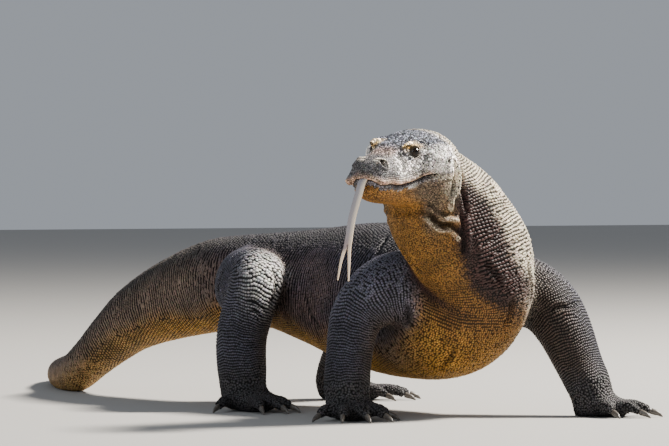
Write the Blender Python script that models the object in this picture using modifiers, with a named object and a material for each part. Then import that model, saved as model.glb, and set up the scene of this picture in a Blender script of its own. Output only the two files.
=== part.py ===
"""A Komodo dragon, life size, walking slowly with its head raised and turned, tongue out.

Metres, +Z up. The animal faces -Y and its right side is towards -X. The whole body is lofted,
joined and smoothed as one form, flattened where it stands, then parted with thin cuts into the
head, lower jaw, neck, trunk, three lengths of tail and three lengths of each leg. Eyes, tongue
and claws are pieces of their own. The origin is put in the middle of the footprint at the end.
"""

import math

import bmesh
import bpy
from mathutils import Matrix, Vector

# ---------------------------------------------------------------- driving sizes
GAP = 0.0004  # between pieces that meet
VOXEL = 0.0052  # grain of the joined form
SMOOTH_PASSES = 7
FLESH_TRIANGLES = 3880
EYE_RADIUS = 0.0112
TONGUE_WIDTH = 0.0180
TONGUE_THICKNESS = 0.0055
CLAW_LENGTH = 0.027
CLAW_RADIUS = 0.0062
# share of a claw's length, share of its radius, and its bend up or down there
CLAW_CURVE = ((0, 1, 0), (0.3, 0.94, 0), (0.6, 0.7, -0.0004), (0.84, 0.4, -0.0024), (1, 0.1, -0.0050))

# The trunk, neck and tail: centre x, y, z, half width, rise above and drop below the centre.
SPINE = (
    (-0.199, -0.220, 0.484, 0.084, 0.077, 0.100),  # skull meets neck
    (-0.151, -0.209, 0.449, 0.094, 0.092, 0.130),
    (-0.086, -0.196, 0.398, 0.104, 0.104, 0.142),  # middle of the neck
    (-0.016, -0.159, 0.312, 0.125, 0.119, 0.140),
    (0.000, -0.075, 0.235, 0.143, 0.134, 0.152),  # shoulders
    (0.012, 0.050, 0.226, 0.153, 0.156, 0.156),
    (0.020, 0.200, 0.234, 0.158, 0.154, 0.145),  # belly
    (0.008, 0.350, 0.250, 0.138, 0.126, 0.120),
    (-0.014, 0.484, 0.262, 0.112, 0.102, 0.100),  # hips
    (-0.032, 0.585, 0.256, 0.094, 0.102, 0.098),
    (-0.039, 0.681, 0.246, 0.082, 0.100, 0.098),  # root of the tail
    (-0.047, 0.826, 0.214, 0.067, 0.088, 0.087),
    (-0.054, 0.946, 0.174, 0.056, 0.074, 0.073),
    (-0.059, 1.039, 0.124, 0.047, 0.061, 0.060),
    (-0.060, 1.116, 0.078, 0.041, 0.051, 0.050),
    (-0.050, 1.195, 0.045, 0.036, 0.045, 0.048),  # the tail comes to the floor
    (0.022, 1.365, 0.032, 0.027, 0.033, 0.035),
    (0.155, 1.565, 0.020, 0.017, 0.021, 0.022),
    (0.330, 1.725, 0.009, 0.006, 0.008, 0.011),  # tip
)

# The head's own frame: its origin is the tip of the muzzle on the line of the mouth.
MUZZLE_TIP = Vector((-0.3986, -0.2949, 0.4780))
HEAD_YAW = math.radians(21)  # forward is turned this far from -X towards -Y
HEAD_PITCH = math.radians(5)  # nose down
HEAD_ROLL = math.radians(4)  # left side lower
# distance back from the tip, half width, rise above and drop below the line of the mouth
HEAD = (
    (-0.004, 0.016, 0.014, 0.016),
    (0.004, 0.031, 0.030, 0.032),
    (0.018, 0.0425, 0.038, 0.043),
    (0.042, 0.0455, 0.044, 0.052),
    (0.072, 0.0465, 0.052, 0.056),
    (0.100, 0.0505, 0.061, 0.060),
    (0.126, 0.0590, 0.069, 0.064),
    (0.156, 0.0740, 0.076, 0.070),
    (0.190, 0.0850, 0.080, 0.080),
    (0.222, 0.0830, 0.077, 0.090),
    (0.248, 0.0760, 0.063, 0.086),
    (0.272, 0.0600, 0.038, 0.070),
    (0.288, 0.0380, 0.012, 0.045),
)
EYE_BACK, EYE_SIDE, EYE_UP = 0.113, 0.0420, 0.0455
NOSTRIL_BACK, NOSTRIL_SIDE, NOSTRIL_UP = 0.0235, 0.0305, 0.0315
EAR_BACK, EAR_SIDE, EAR_UP = 0.176, 0.0800, 0.0200
# the line of the mouth: distance back from the tip and height
MOUTH_LINE = (
    (-0.030, -0.002),
    (0.006, -0.003),
    (0.030, -0.010),
    (0.062, -0.016),
    (0.100, -0.012),
    (0.140, -0.001),
    (0.180, 0.001),
    (0.240, 0.000),
    (0.300, 0.000),
)

# Legs: joint centres and radii from inside the trunk to the wrist or ankle.
LEGS = {
    "right_fore": (
        (-0.085, -0.072, 0.258, 0.078),
        (-0.142, -0.064, 0.258, 0.073),
        (-0.186, -0.052, 0.238, 0.062),
        (-0.219, -0.041, 0.196, 0.051),
        (-0.242, -0.049, 0.122, 0.045),
        (-0.258, -0.062, 0.056, 0.045),
    ),
    "left_fore": (
        (0.085, -0.105, 0.255, 0.078),
        (0.138, -0.138, 0.250, 0.072),
        (0.167, -0.176, 0.226, 0.063),
        (0.180, -0.212, 0.180, 0.056),
        (0.192, -0.248, 0.106, 0.047),
        (0.198, -0.276, 0.052, 0.044),
    ),
    "right_hind": (
        (-0.055, 0.480, 0.255, 0.088),
        (-0.106, 0.452, 0.256, 0.080),
        (-0.148, 0.395, 0.266, 0.068),
        (-0.182, 0.335, 0.266, 0.056),
        (-0.216, 0.342, 0.156, 0.053),
        (-0.223, 0.330, 0.056, 0.049),
    ),
    "left_hind": (
        (0.050, 0.500, 0.255, 0.088),
        (0.098, 0.486, 0.256, 0.078),
        (0.152, 0.466, 0.264, 0.067),
        (0.207, 0.456, 0.246, 0.055),
        (0.213, 0.505, 0.150, 0.050),
        (0.200, 0.550, 0.056, 0.046),
    ),
}
# a direction that no length of the leg runs along, to hold its sections level
LEG_ACROSS = {
    "right_fore": (0, -1, 0.05),
    "left_fore": (0, -1, 0.05),
    "right_hind": (0.8, -0.5, -0.25),
    "left_hind": (0.2, 0.8, 0.4),
}
# where each leg is cut from the trunk: centre, direction and radius of the cut
ROOT_CUTS = {
    "right_fore": ((-0.164, -0.064, 0.242), (-1, -0.10, -0.28), 0.105),
    "left_fore": ((0.150, -0.146, 0.240), (1, -0.55, -0.35), 0.098),
    "right_hind": ((-0.157, 0.410, 0.250), (-1, -0.17, -0.02), 0.130),
    "left_hind": ((0.151, 0.450, 0.250), (1, -0.17, -0.02), 0.130),
}
BEND_CUTS = {"right_fore": 3.2, "left_fore": 3.2, "right_hind": 3.82, "left_hind": 3.82}
# which way each foot points: degrees from -Y, outwards from the middle of the body
FOOT_TURN = {"right_fore": 22, "left_fore": 44, "right_hind": 8, "left_hind": 40}
# sole: distance along the foot, centre height, half width, rise, drop
FORE_SOLE = (
    (-0.036, 0.032, 0.024, 0.022, 0.034),
    (-0.010, 0.034, 0.042, 0.040, 0.036),
    (0.026, 0.027, 0.045, 0.028, 0.029),
    (0.056, 0.020, 0.043, 0.018, 0.022),
    (0.074, 0.014, 0.030, 0.010, 0.016),
)
HIND_SOLE = (
    (-0.046, 0.030, 0.026, 0.024, 0.032),
    (-0.014, 0.036, 0.043, 0.042, 0.038),
    (0.030, 0.028, 0.046, 0.030, 0.030),
    (0.068, 0.020, 0.043, 0.018, 0.022),
    (0.088, 0.014, 0.030, 0.010, 0.016),
)
# toes: degrees inwards (-) or outwards (+) of the foot, start along and across it, length
FORE_TOES = (
    (-52, 0.022, -0.034, 0.048),
    (-24, 0.052, -0.026, 0.056),
    (-2, 0.060, -0.004, 0.062),
    (20, 0.056, 0.020, 0.058),
    (50, 0.026, 0.036, 0.048),
)
HIND_TOES = (
    (-44, 0.030, -0.034, 0.046),
    (-22, 0.060, -0.026, 0.062),
    (-3, 0.072, -0.006, 0.078),
    (16, 0.068, 0.016, 0.086),
    (54, 0.018, 0.038, 0.060),
)
TOE_RADII = (0.0150, 0.0135, 0.0118, 0.0098)


# ---------------------------------------------------------------- tools
def clear_scene():
    for obj in list(bpy.data.objects):
        bpy.data.objects.remove(obj)


def collection(name, hidden=False):
    made = bpy.data.collections.new(name)
    bpy.context.scene.collection.children.link(made)
    made.hide_render = hidden
    return made


def mix(values, t):
    """Smooth curve through the rows of values, at t from 0 to their last index."""
    i = min(int(t), len(values) - 2)
    f = t - i
    rows = [values[max(0, min(len(values) - 1, i + k))] for k in (-1, 0, 1, 2)]
    return [
        0.5 * (2 * b + f * (c - a) + f * f * (2 * a - 5 * b + 4 * c - d) + f**3 * (3 * b - a - 3 * c + d))
        for a, b, c, d in zip(*rows)
    ]


def section(half_width, rise, drop, sides, square):
    """Points of a rounded section, sideways and upwards from its centre."""
    points = []
    for k in range(sides):
        angle = 2 * math.pi * k / sides
        c, s = math.cos(angle), math.sin(angle)
        across = half_width * math.copysign(abs(c) ** (2 / square), c)
        height = (rise if s > 0 else drop) * math.copysign(abs(s) ** (2 / square), s)
        points.append((across, height))
    return points


def loft(name, rows, up, sides=24, per_span=5, square=2.2):
    """A closed skin through sections at rows of (x, y, z, half width, rise, drop)."""
    bm = bmesh.new()
    steps = (len(rows) - 1) * per_span
    path = [mix(rows, k / per_span) for k in range(steps + 1)]
    rings = []
    for k, row in enumerate(path):
        before, after = path[max(0, k - 1)], path[min(steps, k + 1)]
        ahead = (Vector(after[:3]) - Vector(before[:3])).normalized()
        side = ahead.cross(up).normalized()
        top = side.cross(ahead)
        centre = Vector(row[:3])
        ring = [
            bm.verts.new(centre + side * x + top * y)
            for x, y in section(*row[3:6], sides, square)
        ]
        rings.append(ring)
    for first, second in zip(rings, rings[1:]):
        for k in range(sides):
            n = (k + 1) % sides
            bm.faces.new((first[k], first[n], second[n], second[k]))
    bm.faces.new(rings[0])
    bm.faces.new(rings[-1])
    bmesh.ops.recalc_face_normals(bm, faces=bm.faces)
    return object_from(bm, name)


def object_from(bm, name):
    mesh = bpy.data.meshes.new(name)
    bm.to_mesh(mesh)
    bm.free()
    obj = bpy.data.objects.new(name, mesh)
    cutters.objects.link(obj)
    return obj


def ellipsoid(name, centre, radii, turn=None, segments=24):
    """A sphere stretched to radii along its own axes, turned by the rotation matrix turn."""
    bm = bmesh.new()
    bmesh.ops.create_uvsphere(bm, u_segments=segments, v_segments=segments // 2, radius=1)
    bm.transform(Matrix.Diagonal((*radii, 1)))
    if turn is not None:
        bm.transform(turn.to_4x4())
    bm.transform(Matrix.Translation(centre))
    return object_from(bm, name)


def rod(name, start, end, radius, sides=16):
    """A plain round bar from start to end."""
    bm = bmesh.new()
    length = (end - start).length
    bmesh.ops.create_cone(bm, cap_ends=True, segments=sides, radius1=radius, radius2=radius, depth=length)
    bm.transform((end - start).to_track_quat("Z", "Y").to_matrix().to_4x4())
    bm.transform(Matrix.Translation((start + end) / 2))
    return object_from(bm, name)


def joined(name, objects):
    """One object holding the meshes of several; the originals go."""
    bm = bmesh.new()
    for obj in objects:
        bm.from_mesh(obj.data)
        bpy.data.objects.remove(obj)
    return object_from(bm, name)


def settled(obj, name):
    """A new object holding obj's mesh with its modifiers applied; obj goes."""
    graph = bpy.context.evaluated_depsgraph_get()
    mesh = bpy.data.meshes.new_from_object(obj.evaluated_get(graph))
    made = bpy.data.objects.new(name, mesh)
    cutters.objects.link(made)
    bpy.data.objects.remove(obj)
    return made


def boolean(obj, cutter, operation="DIFFERENCE"):
    modifier = obj.modifiers.new(cutter.name, "BOOLEAN")
    modifier.operation = operation
    modifier.object = cutter
    return modifier


# ---------------------------------------------------------------- the head's frame
def head_axes():
    """Backward, left and up of the head, as unit vectors."""
    forward = Vector((-math.cos(HEAD_YAW), -math.sin(HEAD_YAW), 0))
    left = Vector((0, 0, 1)).cross(forward)
    pitch = Matrix.Rotation(HEAD_PITCH, 3, left)
    forward = pitch @ forward
    roll = Matrix.Rotation(-HEAD_ROLL, 3, forward)
    left = roll @ left
    return -forward, left, forward.cross(left)


def in_head(back, side, up):
    """A point given by its distance back from the muzzle, to the left and up."""
    axis_back, axis_left, axis_up = head_axes()
    return MUZZLE_TIP + axis_back * back + axis_left * side + axis_up * up


def head_turn():
    """Rotation whose columns are the head's forward, left and up."""
    axis_back, axis_left, axis_up = head_axes()
    return Matrix((-axis_back, axis_left, axis_up)).transposed()


def make_head_form():
    rows = [(*in_head(back, 0, 0), width, rise, drop) for back, width, rise, drop in HEAD]
    axis_back, axis_left, axis_up = head_axes()
    forms = [loft("head_form", rows, axis_up, sides=32, per_span=4, square=2.35)]
    for side in (-1, 1):
        brow = in_head(EYE_BACK - 0.004, side * 0.040, EYE_UP + 0.0125)
        forms.append(ellipsoid("brow", brow, (0.026, 0.0120, 0.0085), head_turn()))
        nose = in_head(NOSTRIL_BACK + 0.005, side * 0.024, 0.029)
        forms.append(ellipsoid("nose", nose, (0.016, 0.0125, 0.0120), head_turn()))
        cheek = in_head(0.172, side * 0.060, 0.030)
        forms.append(ellipsoid("cheek", cheek, (0.040, 0.030, 0.036), head_turn()))
        lip = in_head(0.014, side * 0.030, -0.005)
        forms.append(ellipsoid("lip", lip, (0.022, 0.0185, 0.0120), head_turn()))
    return forms


# ---------------------------------------------------------------- legs and feet
def foot_axes(leg):
    """Along the foot and outwards across it, level with the floor."""
    outwards = -1 if leg.startswith("right") else 1
    turn = math.radians(FOOT_TURN[leg])
    along = Vector((outwards * math.sin(turn), -math.cos(turn), 0))
    across = Vector((outwards * math.cos(turn), math.sin(turn), 0))
    return along, across


def toe_rows(leg, toe):
    """Centre line and radii of one toe, from the foot to the root of its claw."""
    angle, start_along, start_across, length = toe
    along, across = foot_axes(leg)
    root = Vector(LEGS[leg][-1][:3])
    root.z = 0
    start = root + along * start_along + across * start_across
    turn = math.radians(angle)
    heading = along * math.cos(turn) + across * math.sin(turn)
    lifts = (0.018, 0.023, 0.021, 0.0125)
    return heading, [
        (*(start + heading * (length * k / 3) + Vector((0, 0, lift))), radius, radius, radius)
        for k, (lift, radius) in enumerate(zip(lifts, TOE_RADII))
    ]


def toes_of(leg):
    return FORE_TOES if leg.endswith("fore") else HIND_TOES


def make_leg_forms(leg):
    rows = [(x, y, z, r, r, r) for x, y, z, r in LEGS[leg]]
    x, y, z, *girth = rows[-1]
    rows.append((x, y, z - 0.034, *(radius * 0.72 for radius in girth)))
    along, across = foot_axes(leg)
    forms = [loft(leg, rows, Vector(LEG_ACROSS[leg]), sides=20, per_span=4)]
    root = Vector(LEGS[leg][-1][:3])
    root.z = 0
    sole = FORE_SOLE if leg.endswith("fore") else HIND_SOLE
    sole_rows = [
        (*(root + along * distance + Vector((0, 0, height))), width, rise, drop)
        for distance, height, width, rise, drop in sole
    ]
    forms.append(loft(leg + "_sole", sole_rows, Vector((0, 0, 1)), sides=20, per_span=3))
    for toe in toes_of(leg):
        forms.append(loft(leg + "_toe", toe_rows(leg, toe)[1], Vector((0, 0, 1)), sides=12, per_span=3))
    return forms


def claw_frame(leg, toe):
    """Where a claw leaves its toe, and the direction it leaves in."""
    heading, rows = toe_rows(leg, toe)
    end = Vector(rows[-1][:3])
    down = math.radians(18)
    return end, (heading * math.cos(down) + Vector((0, 0, -math.sin(down)))).normalized(), heading


def make_claw(name, leg, toe):
    """A curved, pointed claw that starts a gap away from the cut end of its toe."""
    end, direction, heading = claw_frame(leg, toe)
    up = (Vector((0, 0, 1)) - direction * direction.z).normalized()
    rows = []
    for share, radius, lift in CLAW_CURVE:
        centre = end + direction * (GAP + CLAW_LENGTH * share) + up * lift
        centre.z = max(centre.z, CLAW_RADIUS * radius + 0.0004)
        rows.append((*centre, CLAW_RADIUS * radius * 0.8, CLAW_RADIUS * radius, CLAW_RADIUS * radius))
    claw = loft(name, rows, up, sides=6, per_span=1)
    cutters.objects.unlink(claw)
    parts.objects.link(claw)
    claw.data.materials.append(horn)
    return claw


# ---------------------------------------------------------------- cutting
def disc(name, centre, normal, radius):
    """A cutter as thin as the gap between two pieces."""
    normal = normal.normalized()
    half = normal * (GAP / 2)
    return rod(name, centre - half, centre + half, radius, sides=12)


def spine_disc(name, t, radius, tilt=0.0):
    """A cutter across the spine at its row t; tilt leans its top forward, in degrees."""
    centre = Vector(mix(SPINE, t)[:3])
    along = (Vector(mix(SPINE, t + 0.05)[:3]) - Vector(mix(SPINE, t - 0.05)[:3])).normalized()
    side = along.cross(Vector((0, 0, 1))).normalized()
    along = Matrix.Rotation(math.radians(tilt), 3, side) @ along
    return disc(name, centre, along, radius)


def leg_disc(name, leg, t, radius):
    rows = [row[:3] for row in LEGS[leg]]
    centre = Vector(mix(rows, t))
    along = Vector(mix(rows, t + 0.1)) - Vector(mix(rows, t - 0.1))
    return disc(name, centre, along, radius)


def mouth_cutter():
    """A thin sheet along the line of the mouth, from in front of the muzzle to the neck."""
    bm = bmesh.new()
    steps = 20
    rows = [mix(MOUTH_LINE, k * (len(MOUTH_LINE) - 1) / steps) for k in range(steps + 1)]
    rings = []
    for back, up in rows:
        corners = ((-0.14, up), (0.14, up), (0.14, up + GAP), (-0.14, up + GAP))
        rings.append([bm.verts.new(in_head(back, side, height)) for side, height in corners])
    for first, second in zip(rings, rings[1:]):
        for k in range(4):
            n = (k + 1) % 4
            bm.faces.new((first[k], first[n], second[n], second[k]))
    bm.faces.new(rings[0])
    bm.faces.new(rings[-1])
    bmesh.ops.recalc_face_normals(bm, faces=bm.faces)
    return object_from(bm, "mouth_cut")


def floor_cutter():
    bm = bmesh.new()
    bmesh.ops.create_cube(bm, size=1)
    bm.transform(Matrix.Diagonal((3, 4, 0.2, 1)))
    bm.transform(Matrix.Translation((0, 0.6, -0.1)))
    return object_from(bm, "floor_cut")


def cut_away(obj, cutters_used):
    """The mesh of obj with every cutter taken out of it, one after another; all of them go."""
    for cutter in cutters_used:
        boolean(obj, cutter)
    left = settled(obj, obj.name)
    for cutter in cutters_used:
        bpy.data.objects.remove(cutter)
    return left


def loose_pieces(obj):
    """The separate bodies in obj's mesh, each as an object; obj goes."""
    bm = bmesh.new()
    bm.from_mesh(obj.data)
    bm.verts.ensure_lookup_table()
    waiting, islands = set(bm.verts), []
    while waiting:
        stack, island = [next(iter(waiting))], set()
        while stack:
            vert = stack.pop()
            if vert not in island:
                island.add(vert)
                stack.extend(edge.other_vert(vert) for edge in vert.link_edges)
        waiting -= island
        islands.append(sorted(vert.index for vert in island))
    found = []
    for island in sorted(islands):
        if len(island) < 30:
            continue
        piece = bm.copy()
        keep = set(island)
        gone = [vert for vert in piece.verts if vert.index not in keep]
        bmesh.ops.delete(piece, geom=gone, context="VERTS")
        found.append(object_from(piece, "piece"))
    bm.free()
    bpy.data.objects.remove(obj)
    return found


def nearest_label(piece, labels):
    """The label whose point lies nearest to the middle of the piece's box."""
    xs, ys, zs = zip(*(vert.co for vert in piece.data.vertices))
    middle = Vector([(min(c) + max(c)) / 2 for c in (xs, ys, zs)])
    return min(labels, key=lambda name: (labels[name] - middle).length)


# ---------------------------------------------------------------- the pieces
def material(name, colour, roughness):
    made = bpy.data.materials.new(name)
    made.use_nodes = True
    shader = made.node_tree.nodes["Principled BSDF"]
    shader.inputs["Base Color"].default_value = (*colour, 1)
    shader.inputs["Roughness"].default_value = roughness
    return made


def make_body():
    """The whole animal without eyes, tongue and claws, as one smooth mesh."""
    forms = [loft("spine", SPINE, Vector((0, 0, 1)), sides=36, per_span=6, square=2.15)]
    forms += make_head_form()
    for leg in LEGS:
        forms += make_leg_forms(leg)
    body = joined("body", forms)
    remesh = body.modifiers.new("join", "REMESH")
    remesh.mode = "VOXEL"
    remesh.voxel_size = VOXEL
    smooth = body.modifiers.new("soften", "SMOOTH")
    smooth.factor = 0.5
    smooth.iterations = SMOOTH_PASSES
    body = settled(body, "body")
    thin = body.modifiers.new("thin", "DECIMATE")
    thin.ratio = FLESH_TRIANGLES / (2 * len(body.data.polygons))
    thin.use_collapse_triangulate = True
    return settled(body, "body")


def tongue_rows():
    """Centre line of the tongue's band: out of the mouth, over the lip and down."""
    root = [in_head(0.030, 0.0, 0.0), in_head(0.008, 0.0, 0.0), in_head(-0.008, 0.001, -0.005)]
    bend = in_head(-0.020, 0.001, -0.026)
    fork = bend + Vector((-0.017, 0.012, -0.098))
    return root + [bend, (bend + fork) / 2 + Vector((-0.003, 0.001, 0)), fork]


def make_tongue():
    """A flat band that splits into two fine tips."""
    axis_back, axis_left, _ = head_axes()
    half, thick = TONGUE_WIDTH / 2, TONGUE_THICKNESS / 2
    widths = (half, half, half, half * 0.98, half * 0.92, half * 0.86)
    rows = [(*point, width, thick, thick) for point, width in zip(tongue_rows(), widths)]
    up = axis_back * -1 + Vector((0, 0, 0.35))
    band = loft("tongue_band", rows, up, sides=8, per_span=2, square=2.6)
    fork = tongue_rows()[-1]
    tines = [band]
    for side in (-1, 1):
        spread = axis_left * side
        points = (
            fork + spread * 0.0042 + Vector((0.002, 0, 0.012)),
            fork + spread * 0.0048 + Vector((-0.001, 0.001, -0.006)),
            fork + spread * 0.0090 + Vector((-0.005, 0.003, -0.034)),
            fork + spread * 0.0120 + Vector((-0.009, 0.004, -0.070)),
        )
        sizes = ((0.0038, 0.0024), (0.0036, 0.0024), (0.0028, 0.0020), (0.0014, 0.0012))
        tine_rows = [(*p, w, t, t) for p, (w, t) in zip(points, sizes)]
        tines.append(loft("tine", tine_rows, up, sides=6, per_span=2))
    tongue = tines[0]
    for tine in tines[1:]:
        boolean(tongue, tine, "UNION")
    whole = settled(tongue, "tongue")
    for tine in tines[1:]:
        bpy.data.objects.remove(tine)
    return whole


def make_eye(name, side):
    eye = ellipsoid(name, in_head(EYE_BACK, side * EYE_SIDE, EYE_UP), (EYE_RADIUS,) * 3, segments=14)
    cutters.objects.unlink(eye)
    parts.objects.link(eye)
    eye.data.materials.append(wet)
    return eye


def make_cuts():
    """Everything that is taken out of the body to part it and to make room in it."""
    cuts = [
        spine_disc("head_neck", 0.45, 0.165, 8),
        spine_disc("neck_trunk", 2.3, 0.175),
        spine_disc("trunk_tail", 9.35, 0.15),
        spine_disc("tail_1", 12.0, 0.12),
        spine_disc("tail_2", 15.3, 0.09),
    ]
    for leg in LEGS:
        centre, normal, radius = ROOT_CUTS[leg]
        cuts.append(disc(leg + "_root", Vector(centre), Vector(normal), radius))
        cuts.append(leg_disc(leg + "_bend", leg, BEND_CUTS[leg], 0.085))
        cuts.append(leg_disc(leg + "_foot", leg, 4.72, 0.080))
        for toe in toes_of(leg):
            end, direction, heading = claw_frame(leg, toe)
            cuts.append(rod("toe_end", end, end + direction * 0.03, 0.020, sides=6))
    return cuts


def head_hollows():
    """Sockets, nostrils, ears and the notch that the tongue comes out of."""
    hollows = []
    turn = head_turn()
    for side in (-1, 1):
        eye = in_head(EYE_BACK, side * EYE_SIDE, EYE_UP)
        hollows.append(ellipsoid("socket", eye, (EYE_RADIUS + GAP,) * 3, segments=14))
        nostril = in_head(NOSTRIL_BACK, side * NOSTRIL_SIDE, NOSTRIL_UP)
        hollows.append(ellipsoid("nostril", nostril, (0.0062, 0.0056, 0.0048), turn, segments=8))
        ear = in_head(EAR_BACK, side * (EAR_SIDE + 0.008), EAR_UP)
        hollows.append(ellipsoid("ear", ear, (0.0050, 0.0080, 0.0125), turn, segments=8))
    return hollows


def tongue_way():
    """Room for the tongue between the lips."""
    grown = (TONGUE_WIDTH / 2 + GAP, TONGUE_THICKNESS / 2 + GAP, TONGUE_THICKNESS / 2 + GAP)
    rows = [(*point, *grown) for point in tongue_rows()[:4]]
    rows[0] = (*in_head(0.034, 0, 0), *grown)
    up = head_axes()[0] * -1 + Vector((0, 0, 0.35))
    return loft("tongue_way", rows, up, sides=8, per_span=2, square=2.6)


def labels():
    """The name of each length of the body and a point near its middle."""
    found = {
        "head": in_head(0.11, 0, 0.03),
        "lower_jaw": in_head(0.11, 0, -0.04),
        "neck": Vector(mix(SPINE, 1.8)[:3]),
        "trunk": Vector(mix(SPINE, 6.3)[:3]),
        "tail_root": Vector(mix(SPINE, 10.8)[:3]),
        "tail_middle": Vector(mix(SPINE, 13.6)[:3]),
        "tail_end": Vector(mix(SPINE, 16.6)[:3]),
    }
    upper = {"fore": ("upper_arm", "forearm", "hand"), "hind": ("thigh", "shin", "foot")}
    for leg, rows in LEGS.items():
        side, end = leg.split("_")
        names = [side + "_" + word for word in upper[end]]
        along, across = foot_axes(leg)
        found[names[0]] = (Vector(rows[2][:3]) + Vector(rows[3][:3])) / 2
        found[names[1]] = Vector(rows[4][:3])
        found[names[2]] = Vector((rows[5][0], rows[5][1], 0.03)) + along * 0.05
    return found


def keep(obj, name):
    """Gives a finished piece its name, its material and its place among the parts."""
    obj.name = name
    obj.data.name = name
    cutters.objects.unlink(obj)
    parts.objects.link(obj)
    obj.data.materials.clear()
    obj.data.materials.append(hide)


def part_body(body):
    """Cuts the body into lengths, and the head into head and jaw, and names them."""
    names = labels()
    for piece in loose_pieces(cut_away(body, [floor_cutter(), *make_cuts()])):
        name = nearest_label(piece, names)
        if name not in ("head", "lower_jaw"):
            keep(piece, name)
            continue
        for half in loose_pieces(cut_away(piece, [mouth_cutter()])):
            name = nearest_label(half, names)
            hollows = [tongue_way()]
            if name == "head":
                hollows += head_hollows()
            keep(cut_away(half, hollows), name)


def centre_on_footprint():
    """Moves every piece so that the origin is under the middle of the whole animal."""
    corners = [obj.matrix_world @ vert.co for obj in parts.objects for vert in obj.data.vertices]
    shift = Vector([-(min(c) + max(c)) / 2 for c in list(zip(*corners))[:2]] + [0])
    for obj in parts.objects:
        obj.data.transform(Matrix.Translation(shift))
    print("moved by", [round(c, 5) for c in shift])


clear_scene()
parts = collection("komodo_dragon")
cutters = collection("cutters", hidden=True)
hide = material("hide", (0.20, 0.17, 0.14), 0.7)
horn = material("claw_horn", (0.07, 0.06, 0.05), 0.4)
wet = material("wet_eye", (0.05, 0.03, 0.015), 0.1)
flesh = material("tongue_flesh", (0.62, 0.50, 0.50), 0.4)

part_body(make_body())
for side_name, side in (("left", 1), ("right", -1)):
    make_eye(side_name + "_eye", side)
tongue = make_tongue()
cutters.objects.unlink(tongue)
parts.objects.link(tongue)
tongue.data.materials.append(flesh)
for leg in LEGS:
    for number, toe in enumerate(toes_of(leg), 1):
        make_claw(f"{leg}_claw_{number}", leg, toe)
centre_on_footprint()
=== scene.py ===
"""A Komodo dragon, life size, dressed: one hide, its scales, eyes, tongue and claws.

The hide is lofted from the same sizes as the solids, joined into one skin and carved. The scales
are small closed domes laid over it in rows that run across the body, as the real ones do.
"""

import math

import bmesh
import bpy
import numpy as np
from mathutils import Matrix, Vector
from mathutils.bvhtree import BVHTree
from mathutils.kdtree import KDTree


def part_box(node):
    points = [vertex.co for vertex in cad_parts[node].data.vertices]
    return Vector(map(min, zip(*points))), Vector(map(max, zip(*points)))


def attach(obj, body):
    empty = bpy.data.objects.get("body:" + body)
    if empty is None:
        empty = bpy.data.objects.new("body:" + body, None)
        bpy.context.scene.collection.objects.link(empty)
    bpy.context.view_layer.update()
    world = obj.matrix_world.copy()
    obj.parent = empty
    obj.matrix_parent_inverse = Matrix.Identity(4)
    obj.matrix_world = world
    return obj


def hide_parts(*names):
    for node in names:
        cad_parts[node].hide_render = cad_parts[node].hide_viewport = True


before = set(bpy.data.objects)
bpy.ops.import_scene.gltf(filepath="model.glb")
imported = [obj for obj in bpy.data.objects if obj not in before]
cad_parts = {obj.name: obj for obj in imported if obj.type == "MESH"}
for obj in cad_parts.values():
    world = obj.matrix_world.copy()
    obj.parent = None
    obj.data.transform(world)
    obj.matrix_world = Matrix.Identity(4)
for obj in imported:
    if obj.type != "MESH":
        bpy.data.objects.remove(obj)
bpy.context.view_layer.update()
chance = np.random.default_rng(7)

# ================================================================ hide
# The hide of the whole animal is one leathery skin over head, trunk, tail and legs, with no seam.
# It is lofted along the spine and each limb, joined, smoothed, and carved with lids, lips and folds.
# Scales lie on it everywhere, so it is set a little inside the outline that they reach.

SCALE_DEPTH = 0.0012  # how far the hide lies inside the outline
HIDE_FLOOR, SCALE_FLOOR = 0.0006, 0.0002  # how close to the floor hide and scales may come
HIDE_GRAIN, HIDE_STEPS = 0.0063, 7

# centre x, y, z, half width, rise above and drop below the centre
SPINE = (
    (-0.199, -0.220, 0.484, 0.084, 0.077, 0.100),  # skull meets neck
    (-0.151, -0.209, 0.449, 0.094, 0.092, 0.130),
    (-0.086, -0.196, 0.398, 0.104, 0.104, 0.142),  # middle of the neck
    (-0.016, -0.159, 0.312, 0.125, 0.119, 0.140),
    (0.000, -0.075, 0.235, 0.143, 0.134, 0.152),  # shoulders
    (0.012, 0.050, 0.226, 0.153, 0.156, 0.156),
    (0.020, 0.200, 0.234, 0.158, 0.154, 0.145),  # belly
    (0.008, 0.350, 0.250, 0.138, 0.126, 0.120),
    (-0.014, 0.484, 0.262, 0.112, 0.102, 0.100),  # hips
    (-0.032, 0.585, 0.256, 0.094, 0.102, 0.098),
    (-0.039, 0.681, 0.246, 0.082, 0.100, 0.098),  # root of the tail
    (-0.047, 0.826, 0.214, 0.067, 0.088, 0.087),
    (-0.054, 0.946, 0.174, 0.056, 0.074, 0.073),
    (-0.059, 1.039, 0.124, 0.047, 0.061, 0.060),
    (-0.060, 1.116, 0.078, 0.041, 0.051, 0.050),
    (-0.050, 1.195, 0.045, 0.036, 0.045, 0.048),  # the tail comes to the floor
    (0.022, 1.365, 0.032, 0.027, 0.033, 0.035),
    (0.155, 1.565, 0.020, 0.017, 0.021, 0.022),
    (0.330, 1.725, 0.009, 0.006, 0.008, 0.011),  # tip
)
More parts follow.
